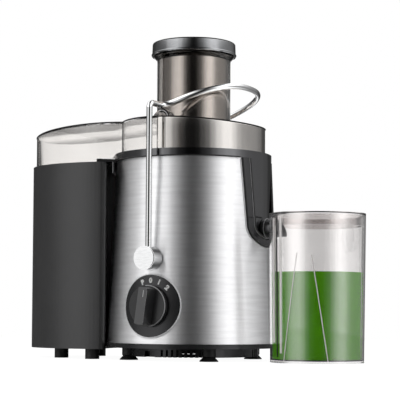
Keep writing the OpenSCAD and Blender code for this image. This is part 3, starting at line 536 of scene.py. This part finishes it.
smoky_clear = clear("smoky clear plastic", (0.92, 0.905, 0.89), 0.03, 0.01, ior=1.3)
smoky_mirror = clear("smoky gloss plastic", (0.80, 0.77, 0.74), 0.06, 0.78)
ear_smoke = clear("smoky ear plastic", (0.84, 0.81, 0.79), 0.12, 0.1, ior=1.2)
flange_shadow_dark = clear("painted flange shadow plastic", (0.05, 0.045, 0.04), 0.12, 0.25)
edge_shade_dark = moulded("painted edge shade plastic", (0.012, 0.011, 0.010), 0.5, ior=1.2)
pusher_smoke = clear("pusher plastic", (0.6, 0.555, 0.52), 0.1, 0.92)
gunmetal = metal("gunmetal lacquer", (0.36, 0.365, 0.375), 0.1, 200, 0.005)

cover_r = 0.0798
lobe_mid = 0.113
lobe_a = 0.0836
lobe_b = 0.0655
lobe_power = 2.1
cover_wall = 0.0024
cover_round = 0.002
crown_top = 0.2606
crown_x = 0.040
crown_r = 1.120
chute_r = 0.0409
chute_bore = 0.0383
chute_top = 0.335
chute_low = 0.168
flange_r = 0.0445
chute_steps = 96
plan_steps = 96
ring_out_r = 0.0872
lip_out_r = 0.1074


def crown(x, drop=0.0):
    """Height of the cover's long curve above x."""
    return crown_top - crown_r + math.sqrt((crown_r - drop) ** 2 - (x + crown_x) ** 2)


def cover_outline(inset):
    """The cover's outline moved inwards: points, and whether each is on the round part."""
    r = cover_r - inset
    a = lobe_a - inset
    b = lobe_b - inset
    near = math.radians(90)
    far = math.radians(180)
    for _ in range(40):
        turn = (near + far) / 2
        x = (r * math.cos(turn) + lobe_mid) / a
        y = r * math.sin(turn) / b
        if abs(x) ** lobe_power + abs(y) ** lobe_power < 1:
            far = turn
        else:
            near = turn
    points = []
    for i in range(plan_steps + 1):
        turn = -near + 2 * near * i / plan_steps
        points.append((r * math.cos(turn), r * math.sin(turn), True))
    start = math.acos(((r * math.cos(near) + lobe_mid) / a) ** (lobe_power / 2))
    for i in range(1, plan_steps):
        turn = start + (2 * math.pi - 2 * start) * i / plan_steps
        c, t = math.cos(turn), math.sin(turn)
        x = math.copysign(abs(c) ** (2 / lobe_power), c) * a - lobe_mid
        y = math.copysign(abs(t) ** (2 / lobe_power), t) * b
        points.append((x, y, False))
    return points


def cover_foot(x, y, on_round):
    """Height of the cover's lower edge: it steps over the ring and over the pulp lip."""
    if on_round:
        return 0.2206
    away = math.hypot(x, y)
    if away < ring_out_r:
        return 0.2248
    if away < lip_out_r:
        return 0.2198
    return 0.2165


def bridge(shape, low, high):
    """Faces between two closed rings of the same count."""
    for i in range(len(low)):
        j = (i + 1) % len(low)
        shape.faces.new((low[i], low[j], high[j], high[i]))


def piece_from(shape, name, *materials):
    """Ends a mesh: even normals, smooth faces with sharp edges, and its materials."""
    bmesh.ops.recalc_face_normals(shape, faces=shape.faces)
    mesh = bpy.data.meshes.new(name)
    shape.to_mesh(mesh)
    shape.free()
    mesh.shade_smooth()
    mesh.set_sharp_from_angle(angle=math.radians(35))
    return add_piece(name, mesh, *materials)


def lathe(name, profile, material, centre=(0, 0), steps=128):
    """A round piece from its half profile of (radius, height) points, with smooth faces."""
    shape = bmesh.new()
    rings = []
    for radius, height in profile:
        count = 1 if radius < 1e-6 else steps
        ring = []
        for i in range(count):
            turn = 2 * math.pi * i / steps
            x = centre[0] + radius * math.cos(turn)
            y = centre[1] + radius * math.sin(turn)
            ring.append(shape.verts.new((x, y, height)))
        rings.append(ring)
    for low, high in zip(rings, rings[1:]):
        for i in range(steps):
            j = (i + 1) % steps
            corners = [low[i % len(low)], low[j % len(low)], high[j % len(high)], high[i % len(high)]]
            unique = list(dict.fromkeys(corners))
            if len(unique) > 2:
                shape.faces.new(unique)
    return piece_from(shape, name, material)


def arc(centre_r, centre_z, radius, start, end, steps):
    """Points of a rounded edge in a half profile, from one angle to another in degrees."""
    points = []
    for i in range(steps + 1):
        turn = math.radians(start + (end - start) * i / steps)
        points.append((centre_r + radius * math.cos(turn), centre_z + radius * math.sin(turn)))
    return points


def ring_of(shape, points):
    """The vertices of a ring, from its points."""
    return [shape.verts.new(point) for point in points]


def chute_ring(radius, height_at):
    """A ring round the chute's axis, at a height that is a number or follows x."""
    points = []
    for i in range(chute_steps):
        x, y, _ = at(radius, 360 * i / chute_steps, 0)
        points.append((x, y, height_at(x) if callable(height_at) else height_at))
    return ring_of(cover_shape, points)


cover_shape = bmesh.new()
outer_plan = cover_outline(0)
inner_plan = cover_outline(cover_wall)
cover_rings = [
    ring_of(cover_shape, [(x, y, cover_foot(x, y, on)) for x, y, on in outer_plan]),
    ring_of(cover_shape, [(x, y, crown(x) - cover_round) for x, y, _ in outer_plan]),
]
for step in range(1, 6):
    bend = math.radians(18 * step)
    plan = cover_outline(cover_round * (1 - math.cos(bend)))
    rise = cover_round * (math.sin(bend) - 1)
    cover_rings.append(ring_of(cover_shape, [(x, y, crown(x) + rise) for x, y, _ in plan]))
inner_foot = []
for (x, y, _), outer in zip(inner_plan, outer_plan):
    inner_foot.append((x, y, cover_foot(*outer)))
inner_low = ring_of(cover_shape, inner_foot)
inner_high = ring_of(cover_shape, [(x, y, crown(x, cover_wall)) for x, y, _ in inner_plan])
for low_ring, high_ring in zip(cover_rings, cover_rings[1:]):
    bridge(cover_shape, low_ring, high_ring)
bridge(cover_shape, inner_high, inner_low)
bridge(cover_shape, inner_low, cover_rings[0])

chute_round = 0.0012
tube_rings = []
for radius, lift in arc(chute_r + chute_round, chute_round, chute_round, 270, 180, 4):
    tube_rings.append(chute_ring(radius, lambda x, lift=lift: crown(x) + lift))
upper = [(chute_r, 0.3308)]
upper += [(chute_r + 0.0008, 0.3312), (flange_r - 0.0003, 0.3338)]
upper += [(flange_r, 0.3342), (flange_r - 0.0003, 0.3348), (flange_r - 0.0008, chute_top)]
upper += [(chute_bore + 0.0005, chute_top), (chute_bore, chute_top - 0.0005), (chute_bore, chute_low)]
upper += [(chute_r, chute_low)]
for radius, height in upper:
    tube_rings.append(chute_ring(radius, height))
under_ring = chute_ring(chute_r, lambda x: crown(x, cover_wall))
tube_rings.append(under_ring)
for low_ring, high_ring in zip(tube_rings, tube_rings[1:]):
    bridge(cover_shape, low_ring, high_ring)
cover_shape.edges.ensure_lookup_table()
for outer_loop, inner_loop in ((cover_rings[-1], tube_rings[0]), (inner_high, under_ring)):
    edges = []
    for loop in (outer_loop, inner_loop):
        for i in range(len(loop)):
            edges.append(cover_shape.edges.get((loop[i], loop[(i + 1) % len(loop)])))
    bmesh.ops.triangle_fill(cover_shape, use_beauty=True, use_dissolve=False, edges=edges)
# Faces of the chute's flange under the cap take a dark painted shadow.
for face in cover_shape.faces:
    middle = face.calc_center_median()
    away = math.hypot(middle.x, middle.y)
    if away < flange_r + 0.001 and middle.z > 0.3306:
        face.material_index = 2
    elif middle.x > 0 and away > chute_r + 0.002 and middle.z < crown(middle.x) - 0.0003:
        face.material_index = 1
top_cover = piece_from(cover_shape, "cover_and_chute", smoky_clear, smoky_mirror, flange_shadow_dark)
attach(top_cover, "base")
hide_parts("top_cover")

# Painted shade: dark lines along the cover's top edge and down the two corners where the round part meets
# the lobe.
edge_plan = cover_outline(0.0003)
edge_line = [(x, y, crown(x) - 0.0007) for x, y, _ in edge_plan]
cover_edge = bead("cover_top_shade_line", edge_line, 0.0008, edge_shade_dark, closed=True)
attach(cover_edge, "base")
corner_shade_low = 0.2225
for count, spot in enumerate((0, plan_steps)):
    x, y, _ = edge_plan[spot]
    corner_shade_line = [(x, y, corner_shade_low), (x, y, crown(x) - 0.001)]
    corner_shade = bead("cover_seam_%d" % (count + 1), corner_shade_line, 0.0007, edge_shade_dark)
    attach(corner_shade, "base")

front_turn = -62
rib_turn = front_turn - 66.5
rib_half = 5.5
rib_out = 0.03822
rib_in = 0.03775
rib_low = 0.2
rib_high = 0.330
rib_shape = bmesh.new()
rib_rows = []
for step in range(9):
    degrees = rib_turn + rib_half * (step / 4 - 1)
    corners = ((rib_out, rib_low), (rib_out, rib_high), (rib_in, rib_high), (rib_in, rib_low))
    rib_rows.append(ring_of(rib_shape, [at(radius, degrees, height) for radius, height in corners]))
for one_row, next_row in zip(rib_rows, rib_rows[1:]):
    bridge(rib_shape, one_row, next_row)
rib_shape.faces.new(rib_rows[0])
rib_shape.faces.new(rib_rows[-1])
# The guide rib's pale colour is a painted highlight: a bright strip down the chute's left wall.
rib_highlight_pale = moulded("guide rib painted highlight plastic", (0.8, 0.77, 0.74), 0.3)
guide_rib = piece_from(rib_shape, "chute_guide_rib", rib_highlight_pale)
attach(guide_rib, "base")

ear_w = 0.020
ear_nose = 0.006
ear_low = 0.2562
ear_top = 0.268
ear_in = 0.0610
ear_out = 0.0740
ear_round = ear_w / 2
ear_edge_y = 0.0738
for side, where in ((-1, "front"), (1, "back")):
    ear_shape = bmesh.new()
    ear_rows = []
    ear_profile = [(ear_in, ear_low), (ear_in, ear_top - 0.0006), (ear_in + 0.0006, ear_top)]
    ear_profile += [(ear_out - ear_nose, ear_top)]
    ear_profile += arc(ear_out - ear_nose, ear_top - ear_nose, ear_nose, 75, 0, 5)
    ear_profile += [(ear_out, ear_low)]
    for i in range(25):
        x = -ear_round + ear_w * i / 24
        lid = ear_top - ear_round + math.sqrt(max(0.0, ear_round**2 - x * x))
        foot = crown(x) - 0.001
        row = []
        for y, z in ear_profile:
            row.append((x, side * y, max(foot, min(z, lid - (ear_top - z) * 0.3))))
        ear_rows.append(ring_of(ear_shape, row))
    for one_row, next_row in zip(ear_rows, ear_rows[1:]):
        bridge(ear_shape, one_row, next_row)
    for row in (ear_rows[0], ear_rows[-1]):
        ear_shape.faces.new(row)
    bmesh.ops.remove_doubles(ear_shape, verts=ear_shape.verts, dist=0.00002)
    ear = piece_from(ear_shape, "arm_ear_" + where, ear_smoke)
    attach(ear, "base")
    # Painted lines round the ear's rounded top: dark painted shade outside and inside, with a painted
    # highlight between them.
    for name, inset, material in (
        ("outer", 0.0003, edge_shade_dark),
        ("middle", 0.0016, edge_highlight_white),
        ("inner", 0.0029, edge_shade_dark),
    ):
        reach = ear_round - inset
        line = []
        for degrees in range(100, -1, -10):
            x, up, _ = at(reach, degrees, 0)
            line.append((x, side * ear_edge_y, ear_top - ear_round + up))
        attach(bead("ear_%s_%s_edge" % (where, name), line, 0.0006, material), "base")

cap_r = 0.0472
cap_low = 0.3353
cap_top = 0.350
cap_bore = 0.0376
cap_floor = 0.337
cap_side_r = cap_r - 0.0011
cap_round = 0.0020
cap_profile = [(0, cap_floor), (cap_bore, cap_floor), (cap_bore, cap_low)]
cap_profile += [(cap_r - 0.0006, cap_low), (cap_r, cap_low + 0.0006)]
cap_profile += [(cap_r, cap_low + 0.0018), (cap_r - 0.0007, cap_low + 0.0026)]
cap_profile += arc(cap_side_r - cap_round, cap_top - 0.0024, cap_round, 0, 80, 7)
cap_profile += [(0.036, cap_top - 0.0002), (0.018, cap_top), (0, cap_top)]
pusher_cap = lathe("pusher_lid", cap_profile, gunmetal)
# Painted shade: faces at the cap's top edge and lower edge take the dark edge material.
pusher_cap.data.materials.append(edge_shade_dark)
for polygon in pusher_cap.data.polygons:
    if polygon.center.z > cap_top - 0.0022 or polygon.center.z < cap_low + 0.0003:
        polygon.material_index = 1
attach(pusher_cap, "pusher")
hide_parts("pusher_cap")
finish_node("pusher_body", pusher_smoke)


# ---------------------------------------------------------------------------
# Locking arm: bent chrome-plated steel rod with a round button on each pivot.
# It stands upright beside the body, runs over the cover and loops round the chute.
# ---------------------------------------------------------------------------

chrome = metal("chrome plate", (0.86, 0.865, 0.87), 0.045, 150, 0.002)

rod_r = 0.0032
rod_y = 0.09843
rod_low = 0.1132
rod_z = 0.2715
rod_bend = 0.006
loop_x = 0.068
loop_y = 0.066
loop_rise = 0.35


def loop_at(turn):
    """A point of the loop; 0 is its tip and 90 degrees is beside the chute."""
    x = loop_x * abs(math.cos(turn)) ** 0.8
    y = -loop_y * abs(math.sin(turn)) ** 0.8
    return Vector((x, y, rod_z + loop_rise * x))


rod_half = [Vector((0, -rod_y, rod_low)), Vector((0, -rod_y, rod_z - rod_bend))]
for step in range(1, 7):
    turn = math.radians(15 * step)
    bend_y = -rod_y + rod_bend * (1 - math.cos(turn))
    rod_half.append(Vector((0, bend_y, rod_z - rod_bend + rod_bend * math.sin(turn))))
corner_from = Vector((0, -loop_y - 0.010, rod_z))
corner_over = Vector((0, -loop_y, rod_z))
corner_to = loop_at(math.radians(80))
rod_half.append(corner_from)
for step in range(1, 7):
    t = step / 6
    rod_half.append((1 - t) ** 2 * corner_from + 2 * t * (1 - t) * corner_over + t * t * corner_to)
for degrees in range(75, 0, -5):
    rod_half.append(loop_at(math.radians(degrees)))
rod_line = rod_half + [loop_at(0)] + [Vector((p.x, -p.y, p.z)) for p in reversed(rod_half)]

arm_rod = bead("arm_rod", rod_line, rod_r, chrome, roundness=8)
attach(arm_rod, "arm")
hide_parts("locking_arm")
finish_node("arm_button_front", chrome)
finish_node("arm_button_back", chrome)


# ---------------------------------------------------------------------------
# Speed dial: satin black plate bent to the body, with raised white marks P 0 1 2 and
# a thin bead of painted highlight round its edge. The knob is glossy black, with a tall grip
# and a pointer line on its front; the grip's front face is painted lighter as a highlight,
# and beads of painted highlight run round its rim and along the grip's front edge.
# ---------------------------------------------------------------------------

dial_black = moulded("dial plastic", (0.055, 0.055, 0.057), 0.22, 1500, 0.01, metallic=0.7)
mark_white = moulded("printed white", (0.95, 0.95, 0.94), 0.5, 900, 0.02)
finish_node("dial_plate", dial_black)
knob_black = moulded("knob plastic", (0.02, 0.02, 0.021), 0.26, 1500, 0.02)
finish_node("speed_knob", knob_black)

dial_z = 0.0581
knob_tilt = math.radians(8)
grip_front = -0.1012
grip_half = 0.0051
pointer_across = 0.0012
pointer_along = 0.0130
pointer_half_w = 0.00045
pointer_half_l = 0.0036
knob_tree = knob_black.node_tree


def knob_step(operation, first, second):
    """One step of the knob's colour mask."""
    step = add(knob_tree, "Math", operation=operation)
    for socket, value in zip(step.inputs, (first, second)):
        if isinstance(value, float):
            socket.default_value = value
        else:
            wire(knob_tree, (value, socket))
    return step.outputs["Value"]


knob_place = add(knob_tree, "TexCoord")
knob_axes = add(knob_tree, "SeparateXYZ")
wire(knob_tree, (knob_place.outputs["Object"], knob_axes.inputs["Vector"]))
knob_up = knob_step("SUBTRACT", knob_axes.outputs["Z"], dial_z)
knob_across = knob_step(
    "SUBTRACT",
    knob_step("MULTIPLY", knob_axes.outputs["X"], math.cos(knob_tilt)),
    knob_step("MULTIPLY", knob_up, math.sin(knob_tilt)),
)
knob_along = knob_step(
    "ADD",
    knob_step("MULTIPLY", knob_axes.outputs["X"], math.sin(knob_tilt)),
    knob_step("MULTIPLY", knob_up, math.cos(knob_tilt)),
)
# Mask of the grip's front face, which is painted lighter than the rest of the knob as a highlight.
knob_front_highlight = knob_step(
    "MULTIPLY",
    knob_step("LESS_THAN", knob_axes.outputs["Y"], grip_front),
    knob_step("LESS_THAN", knob_across, grip_half),
)


def knob_near(place, middle, half):
    """A mask of what lies nearer to the middle than half, along one direction."""
    return knob_step("LESS_THAN", knob_step("ABSOLUTE", knob_step("SUBTRACT", place, middle), 0.0), half)


knob_line = knob_step(
    "MULTIPLY",
    knob_near(knob_across, pointer_across, pointer_half_w),
    knob_near(knob_along, pointer_along, pointer_half_l),
)
# Colour A is the knob's own black; colour B is the painted highlight on the grip's front face.
knob_highlight_tone = add(
    knob_tree,
    "Mix",
    {"A": (0.022, 0.022, 0.023, 1), "B": (0.13, 0.13, 0.133, 1)},
    data_type="RGBA",
)
knob_mark = add(knob_tree, "Mix", {"B": (0.6, 0.6, 0.6, 1)}, data_type="RGBA")
wire(
    knob_tree,
    (knob_front_highlight, knob_highlight_tone.inputs["Factor"]),
    (knob_step("MULTIPLY", knob_line, knob_front_highlight), knob_mark.inputs["Factor"]),
    (knob_highlight_tone.outputs["Result"], knob_mark.inputs["A"]),
)
knob_skin = [node for node in knob_tree.nodes if node.type == "GROUP"][0]
wire(knob_tree, (knob_mark.outputs["Result"], knob_skin.inputs["Colour"]))

dial_r = 0.0329
plate_face = 0.00195
marks_r = 0.0266
mark_size = 0.0068


def on_plate(x, z, lift):
    """The point of the dial plate's face at x and z, lifted off it."""
    r = body_r(z) + plate_face + lift
    return Vector((x, -math.sqrt(r * r - x * x), z))


for letter, degrees in (("P", -21.5), ("0", 0), ("1", 21.5), ("2", 44.5)):
    turn = math.radians(degrees)
    curve = bpy.data.curves.new("mark_" + letter, "FONT")
    curve.body = letter
    curve.size = mark_size
    curve.extrude = 0.00006
    curve.offset = 0.00048
    curve.align_x = "CENTER"
    curve.align_y = "CENTER"
    text = bpy.data.objects.new("mark_text", curve)
    bpy.context.scene.collection.objects.link(text)
    bpy.context.view_layer.update()
    mesh = bpy.data.meshes.new_from_object(text.evaluated_get(bpy.context.evaluated_depsgraph_get()))
    bpy.data.objects.remove(text)
    centre_x = marks_r * math.sin(turn)
    centre_z = dial_z + marks_r * math.cos(turn)
    for vertex in mesh.vertices:
        x, z = vertex.co.x, vertex.co.y
        side = x * math.cos(turn) + z * math.sin(turn)
        up = -x * math.sin(turn) + z * math.cos(turn)
        vertex.co = on_plate(centre_x + side, centre_z + up, 0.0001 + vertex.co.z)
    mark = add_piece("dial_mark_" + letter, mesh, mark_white)
    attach(mark, "base")


# A bead of painted highlight round the dial plate's edge.
dial_edge_r = dial_r + 0.0002
edge_points = []
for step in range(96):
    x, up, _ = at(dial_edge_r, 360 * step / 96, 0)
    edge_points.append(on_plate(x, dial_z + up, -0.0003))
dial_highlight_ring = bead("dial_highlight_ring", edge_points, 0.0006, edge_highlight_white, closed=True)
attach(dial_highlight_ring, "base")

knob_r = 0.0215
knob_face_y = -0.1004
# A grey bead of painted highlight round the knob's rim.
rim_points = []
for step in range(45):
    x, up, _ = at(knob_r - 0.0002, -85 + 180 * step / 44, 0)
    rim_points.append((x, knob_face_y, dial_z + up))
knob_rim_highlight = bead("knob_rim_highlight", rim_points, 0.0005, edge_highlight_grey)
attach(knob_rim_highlight, "knob")
# A grey bead of painted highlight along the grip's front edge.
grip_edge_y = -0.1134
grip_edge_points = []
for along, across in ((0.0172, 0.0042), (0.0165, 0.0050), (-0.0165, 0.0050), (-0.0172, 0.0042)):
    x = along * math.sin(knob_tilt) + across * math.cos(knob_tilt)
    z = along * math.cos(knob_tilt) - across * math.sin(knob_tilt)
    grip_edge_points.append((x, grip_edge_y, dial_z + z))
grip_highlight_grey = moulded("grip edge painted highlight", (0.3, 0.3, 0.31), 0.3)
grip_highlight = bead("knob_grip_highlight", grip_edge_points, 0.00032, grip_highlight_grey)
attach(grip_highlight, "knob")


# ---------------------------------------------------------------------------
# Pulp bin: tall oval bin of matt charcoal plastic, hollow towards the body, on feet.
# ---------------------------------------------------------------------------

charcoal_matte = moulded("charcoal plastic", (0.085, 0.085, 0.086), 0.36, 700, 0.03, metallic=0.6)
finish_node("pulp_bin", charcoal_matte)
finish_node("bin_feet", black_rubber)


# ---------------------------------------------------------------------------
# Juice jug and its lid: clear moulded plastic, with green juice standing in it. Two upright
# strips of painted highlight stand on the jug's wall with a line of painted shade between them,
# and painted highlights run down its two creases; dark lines of painted shade run round the
# lid's rim and the jug's foot.
# ---------------------------------------------------------------------------

jug_clear = clear("clear jug plastic", (0.96, 0.945, 0.94), 0.03, 0.14, ior=1.25)
lid_smoke = clear("smoky lid plastic", (0.86, 0.82, 0.81), 0.05, 0.12, ior=1.3)
finish_node("juice_jug", jug_clear)
finish_node("jug_lid", lid_smoke)

jug_x = 0.1492
jug_low_r = 0.0494
jug_flare = 0.0017
jug_h = 0.154
jug_wall = 0.0022
juice_level = 0.094
juice_low = 0.0032
juice_green = moulded("green juice", (0.11, 0.44, 0.006), 0.4, 60, 0.02, ior=1.05)


def jug_r(z, inset):
    """Radius of the jug at a height, inset from its outside."""
    return jug_low_r + jug_flare * z / jug_h - inset


juice = lathe(
    "juice",
    [
        (0, juice_low),
        (jug_r(juice_low, jug_wall) - 0.0008, juice_low),
        (jug_r(0.005, jug_wall) - 0.0002, 0.0045),
        (jug_r(juice_level, jug_wall) - 0.0002, juice_level + 0.0006),
        (jug_r(juice_level, jug_wall) - 0.0012, juice_level),
        (0, juice_level),
    ],
    juice_green,
    (jug_x, 0),
)
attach(juice, "jug")
for glass in (juice, nodes["juice_jug"], nodes["jug_lid"]):
    glass.visible_glossy = False


def jug_point(degrees, height, inset):
    """A point inside the jug's wall; degrees are counted from the side that faces the camera."""
    x, y, z = at(jug_r(height, inset), front_turn + degrees, height)
    return (jug_x + x, y, z)


# Dark lines of painted shade round the lid's rim and the jug's foot.
painted_shade_line = moulded("painted shade plastic", (0.03, 0.028, 0.03), 0.2)
painted_highlight_line = moulded("painted highlight plastic", (0.97, 0.94, 0.93), 0.4)
for name, body, height, inset in (
    ("lid_rim_shade", "lid", 0.1553, 0.0008),
    ("jug_foot_shade", "jug", 0.0030, 0.0016),
):
    points = [jug_point(degrees, height, inset) for degrees in range(0, 360, 5)]
    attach(bead(name, points, 0.0007, painted_shade_line, closed=True), body)

# Pale lines of painted highlight down the jug's two creases and two upright strips, with a dark line of
# painted shade between the strips.
line_steps = 12
line_inset = 0.0011
for name, from_turn, from_z, to_turn, to_z, radius, material in (
    ("jug_crease_highlight_left", -30, 0.1137, -49.5, 0.002, 0.00045, painted_highlight_line),
    ("jug_crease_highlight_right", -11.8, 0.1110, 8.2, 0.002, 0.00055, painted_highlight_line),
    ("jug_highlight_outer", -70.5, 0.151, -70.5, 0.021, 0.0019, painted_highlight_line),
    ("jug_highlight_inner", -55, 0.151, -55, 0.010, 0.0014, painted_highlight_line),
    ("jug_highlight_gap_shade", -62.5, 0.151, -62.5, 0.006, 0.0008, painted_shade_line),
):
    points = []
    for step in range(line_steps + 1):
        t = step / line_steps
        degrees = from_turn + (to_turn - from_turn) * t
        height = from_z + (to_z - from_z) * t
        points.append(jug_point(degrees, height, max(line_inset, radius)))
    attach(bead(name, points, radius, material), "jug")


# ---------------------------------------------------------------------------
# Studio: a plain white table in a white room, lit by a low and a high row of soft
# lights that stand round the table with dark gaps between them.
# ---------------------------------------------------------------------------

scene = bpy.context.scene
scene.view_settings.view_transform = "Standard"
scene.view_settings.look = "None"

table_r = 1.2
table_mesh = bpy.data.meshes.new("table")
table_shape = bmesh.new()
bmesh.ops.create_circle(table_shape, cap_ends=True, radius=table_r, segments=96)
table_shape.to_mesh(table_mesh)
table_shape.free()
table_top = bpy.data.objects.new("table", table_mesh)
scene.collection.objects.link(table_top)
table_white = bpy.data.materials.new("table white")
table_white.use_nodes = True
table_tree = table_white.node_tree
table_tree.nodes.clear()
table_out = add(table_tree, "OutputMaterial")
table_glow = add(table_tree, "Emission", {"Strength": 0.96})
table_face = add(table_tree, "BsdfDiffuse", {"Color": (0.12, 0.12, 0.12, 1)})
table_both = add(table_tree, "AddShader")
table_rays = add(table_tree, "LightPath")
table_seen = add(table_tree, "Math", operation="MAXIMUM")
table_gloss = add(table_tree, "BsdfAnisotropic", {"Color": (0.85, 0.85, 0.85, 1), "Roughness": 0.08})
table_under = add(table_tree, "MixShader")
table_mix = add(table_tree, "MixShader")
wire(
    table_tree,
    (table_rays.outputs["Is Camera Ray"], table_seen.inputs[0]),
    (table_rays.outputs["Is Transmission Ray"], table_seen.inputs[1]),
    (table_seen.outputs["Value"], table_mix.inputs["Fac"]),
    (table_glow.outputs["Emission"], table_both.inputs[0]),
    (table_face.outputs["BSDF"], table_both.inputs[1]),
    (table_rays.outputs["Is Glossy Ray"], table_under.inputs["Fac"]),
    (table_face.outputs["BSDF"], table_under.inputs[1]),
    (table_gloss.outputs["BSDF"], table_under.inputs[2]),
    (table_under.outputs["Shader"], table_mix.inputs[1]),
    (table_both.outputs["Shader"], table_mix.inputs[2]),
    (table_mix.outputs["Shader"], table_out.inputs["Surface"]),
)
table_mesh.materials.append(table_white)

world = bpy.data.worlds.new("studio")
scene.world = world
world.use_nodes = True
room = world.node_tree
room.nodes.clear()
room_out = add(room, "OutputWorld")
room_way = add(room, "TexCoord")
view_turn = math.radians(90 + front_turn)
to_camera = (math.sin(view_turn), -math.cos(view_turn), 0)
to_right = (math.cos(view_turn), math.sin(view_turn), 0)
room_front = add(room, "VectorMath", {1: to_camera}, operation="DOT_PRODUCT")
room_side = add(room, "VectorMath", {1: to_right}, operation="DOT_PRODUCT")
room_deep = add(room, "Math", {1: 1.0})
room_turn = add(room, "Math", operation="ARCTAN2")
room_place = add(room, "MapRange", {"From Min": -math.pi / 2, "From Max": math.pi / 2})
wire(
    room,
    (room_way.outputs["Generated"], room_front.inputs[0]),
    (room_way.outputs["Generated"], room_side.inputs[0]),
    (room_front.outputs["Value"], room_deep.inputs[0]),
    (room_side.outputs["Value"], room_turn.inputs[0]),
    (room_deep.outputs["Value"], room_turn.inputs[1]),
    (room_turn.outputs["Value"], room_place.inputs["Value"]),
)


def light_row(stops, full):
    """Lights standing in a row round the table: their angle from the camera, and their brightness."""
    node = add(room, "ValToRGB")
    row = node.color_ramp
    row.interpolation = "EASE"
    row.elements.remove(row.elements[0])
    for count, (degrees, value) in enumerate(stops):
        where = (degrees + 180) / 360
        if count == 0:
            row.elements[0].position = where
            stop = row.elements[0]
        else:
            stop = row.elements.new(where)
        tone = value / full
        stop.color = (tone, tone, tone, 1)
    light = add(room, "Background", {"Strength": full})
    wire(
        room,
        (room_place.outputs["Result"], node.inputs["Fac"]),
        (node.outputs["Color"], light.inputs["Color"]),
    )
    return light


low_row = light_row(
    [
        (-180, 0.05), (-150, 0.05), (-135, 0.08), (-120, 0.15), (-94, 0.22), (-84, 0.28),
        (-75, 0.70), (-62, 1.00), (-48, 1.15), (-38, 0.80), (-30, 0.30), (-20, 0.06), (-8, 0.012),
        (0, 0.01), (7, 0.02), (15, 0.09), (23, 0.18), (31, 0.50), (40, 0.95), (50, 1.28),
        (60, 1.30), (68, 0.95), (76, 0.60), (86, 0.44), (100, 0.38), (116, 0.34), (130, 0.24),
        (145, 0.08), (180, 0.05),
    ],
    1.5,
)
high_row = light_row(
    [
        (-180, 0.01), (-165, 0.01), (-150, 0.03), (-140, 0.06), (-125, 0.21), (-113, 0.39), (-103, 0.56),
        (-94, 0.74), (-86, 0.91), (-79, 1.15), (-65, 1.25), (-50, 1.23), (-37, 1.00), (-25, 0.46),
        (-13, 0.12), (-6, 0.03), (0, 0.02), (6, 0.05), (12, 0.14), (18, 0.26), (24, 0.44), (30, 0.68),
        (36, 0.92), (48, 1.25), (60, 1.30), (75, 1.16), (90, 0.96), (100, 0.74), (112, 0.48), (128, 0.20),
        (147, 0.07), (180, 0.01),
    ],
    1.5,
)
high_row.inputs["Strength"].default_value = 2.15
room_dark = add(room, "Background", {"Strength": 0.03})
room_back = add(room, "Background", {"Strength": 1.3})
room_seen = add(room, "Background", {"Color": (1, 1, 1, 1)})
room_axes = add(room, "SeparateXYZ")
room_rays = add(room, "LightPath")
wire(room, (room_way.outputs["Generated"], room_axes.inputs["Vector"]))


def room_blend(below, above, measure, low, high):
    """Two lights, the second taking over as the measure goes from low to high."""
    rise = add(room, "MapRange", {"From Min": low, "From Max": high}, interpolation_type="SMOOTHSTEP")
    mix = add(room, "MixShader")
    wire(
        room,
        (measure, rise.inputs["Value"]),
        (rise.outputs["Result"], mix.inputs["Fac"]),
        (below, mix.inputs[1]),
        (above, mix.inputs[2]),
    )
    return mix.outputs["Shader"]


room_height = room_axes.outputs["Z"]
room_floor = room_dark.outputs["Background"]
room_low = room_blend(room_floor, low_row.outputs["Background"], room_height, -0.35, -0.02)
room_mid = room_blend(room_low, high_row.outputs["Background"], room_height, 0.24, 0.38)
room_away = add(room, "Math", {1: -1.0}, operation="MULTIPLY")
wire(room, (room_front.outputs["Value"], room_away.inputs[0]))
room_rear = room_blend(room_mid, room_back.outputs["Background"], room_away.outputs["Value"], 0.962, 0.982)
room_top = room_blend(room_rear, room_floor, room_height, 0.86, 0.97)
room_last = add(room, "MixShader")
wire(
    room,
    (room_rays.outputs["Is Camera Ray"], room_last.inputs["Fac"]),
    (room_top, room_last.inputs[1]),
    (room_seen.outputs["Background"], room_last.inputs[2]),
    (room_last.outputs["Shader"], room_out.inputs["Surface"]),
)

camera_data = bpy.data.cameras.new("camera")
camera_data.sensor_width = 36
camera_data.lens = 124.76
camera_data.shift_y = 0.14
camera_data.clip_start = 0.05
camera_data.clip_end = 50
camera = bpy.data.objects.new("camera", camera_data)
scene.collection.objects.link(camera)
scene.camera = camera
camera_range = 1.5321
camera_height = 0.05165
tilt = math.radians(2.334)
roll = math.radians(0.393)
yaw = math.radians(0.307)
ahead = Vector((-math.sin(view_turn), math.cos(view_turn), 0))
camera_place = -ahead * camera_range + Vector((0, 0, camera_height))
ahead = Matrix.Rotation(-yaw, 3, "Z") @ ahead
right = Vector((ahead.y, -ahead.x, 0))
look = ahead * math.cos(tilt) + Vector((0, 0, 1)) * math.sin(tilt)
up = right.cross(look)
rolled_right = right * math.cos(roll) + up * math.sin(roll)
rolled_up = up * math.cos(roll) - right * math.sin(roll)
camera.matrix_world = Matrix(
    (
        (rolled_right.x, rolled_up.x, -look.x, camera_place.x),
        (rolled_right.y, rolled_up.y, -look.y, camera_place.y),
        (rolled_right.z, rolled_up.z, -look.z, camera_place.z),
        (0, 0, 0, 1),
    )
)
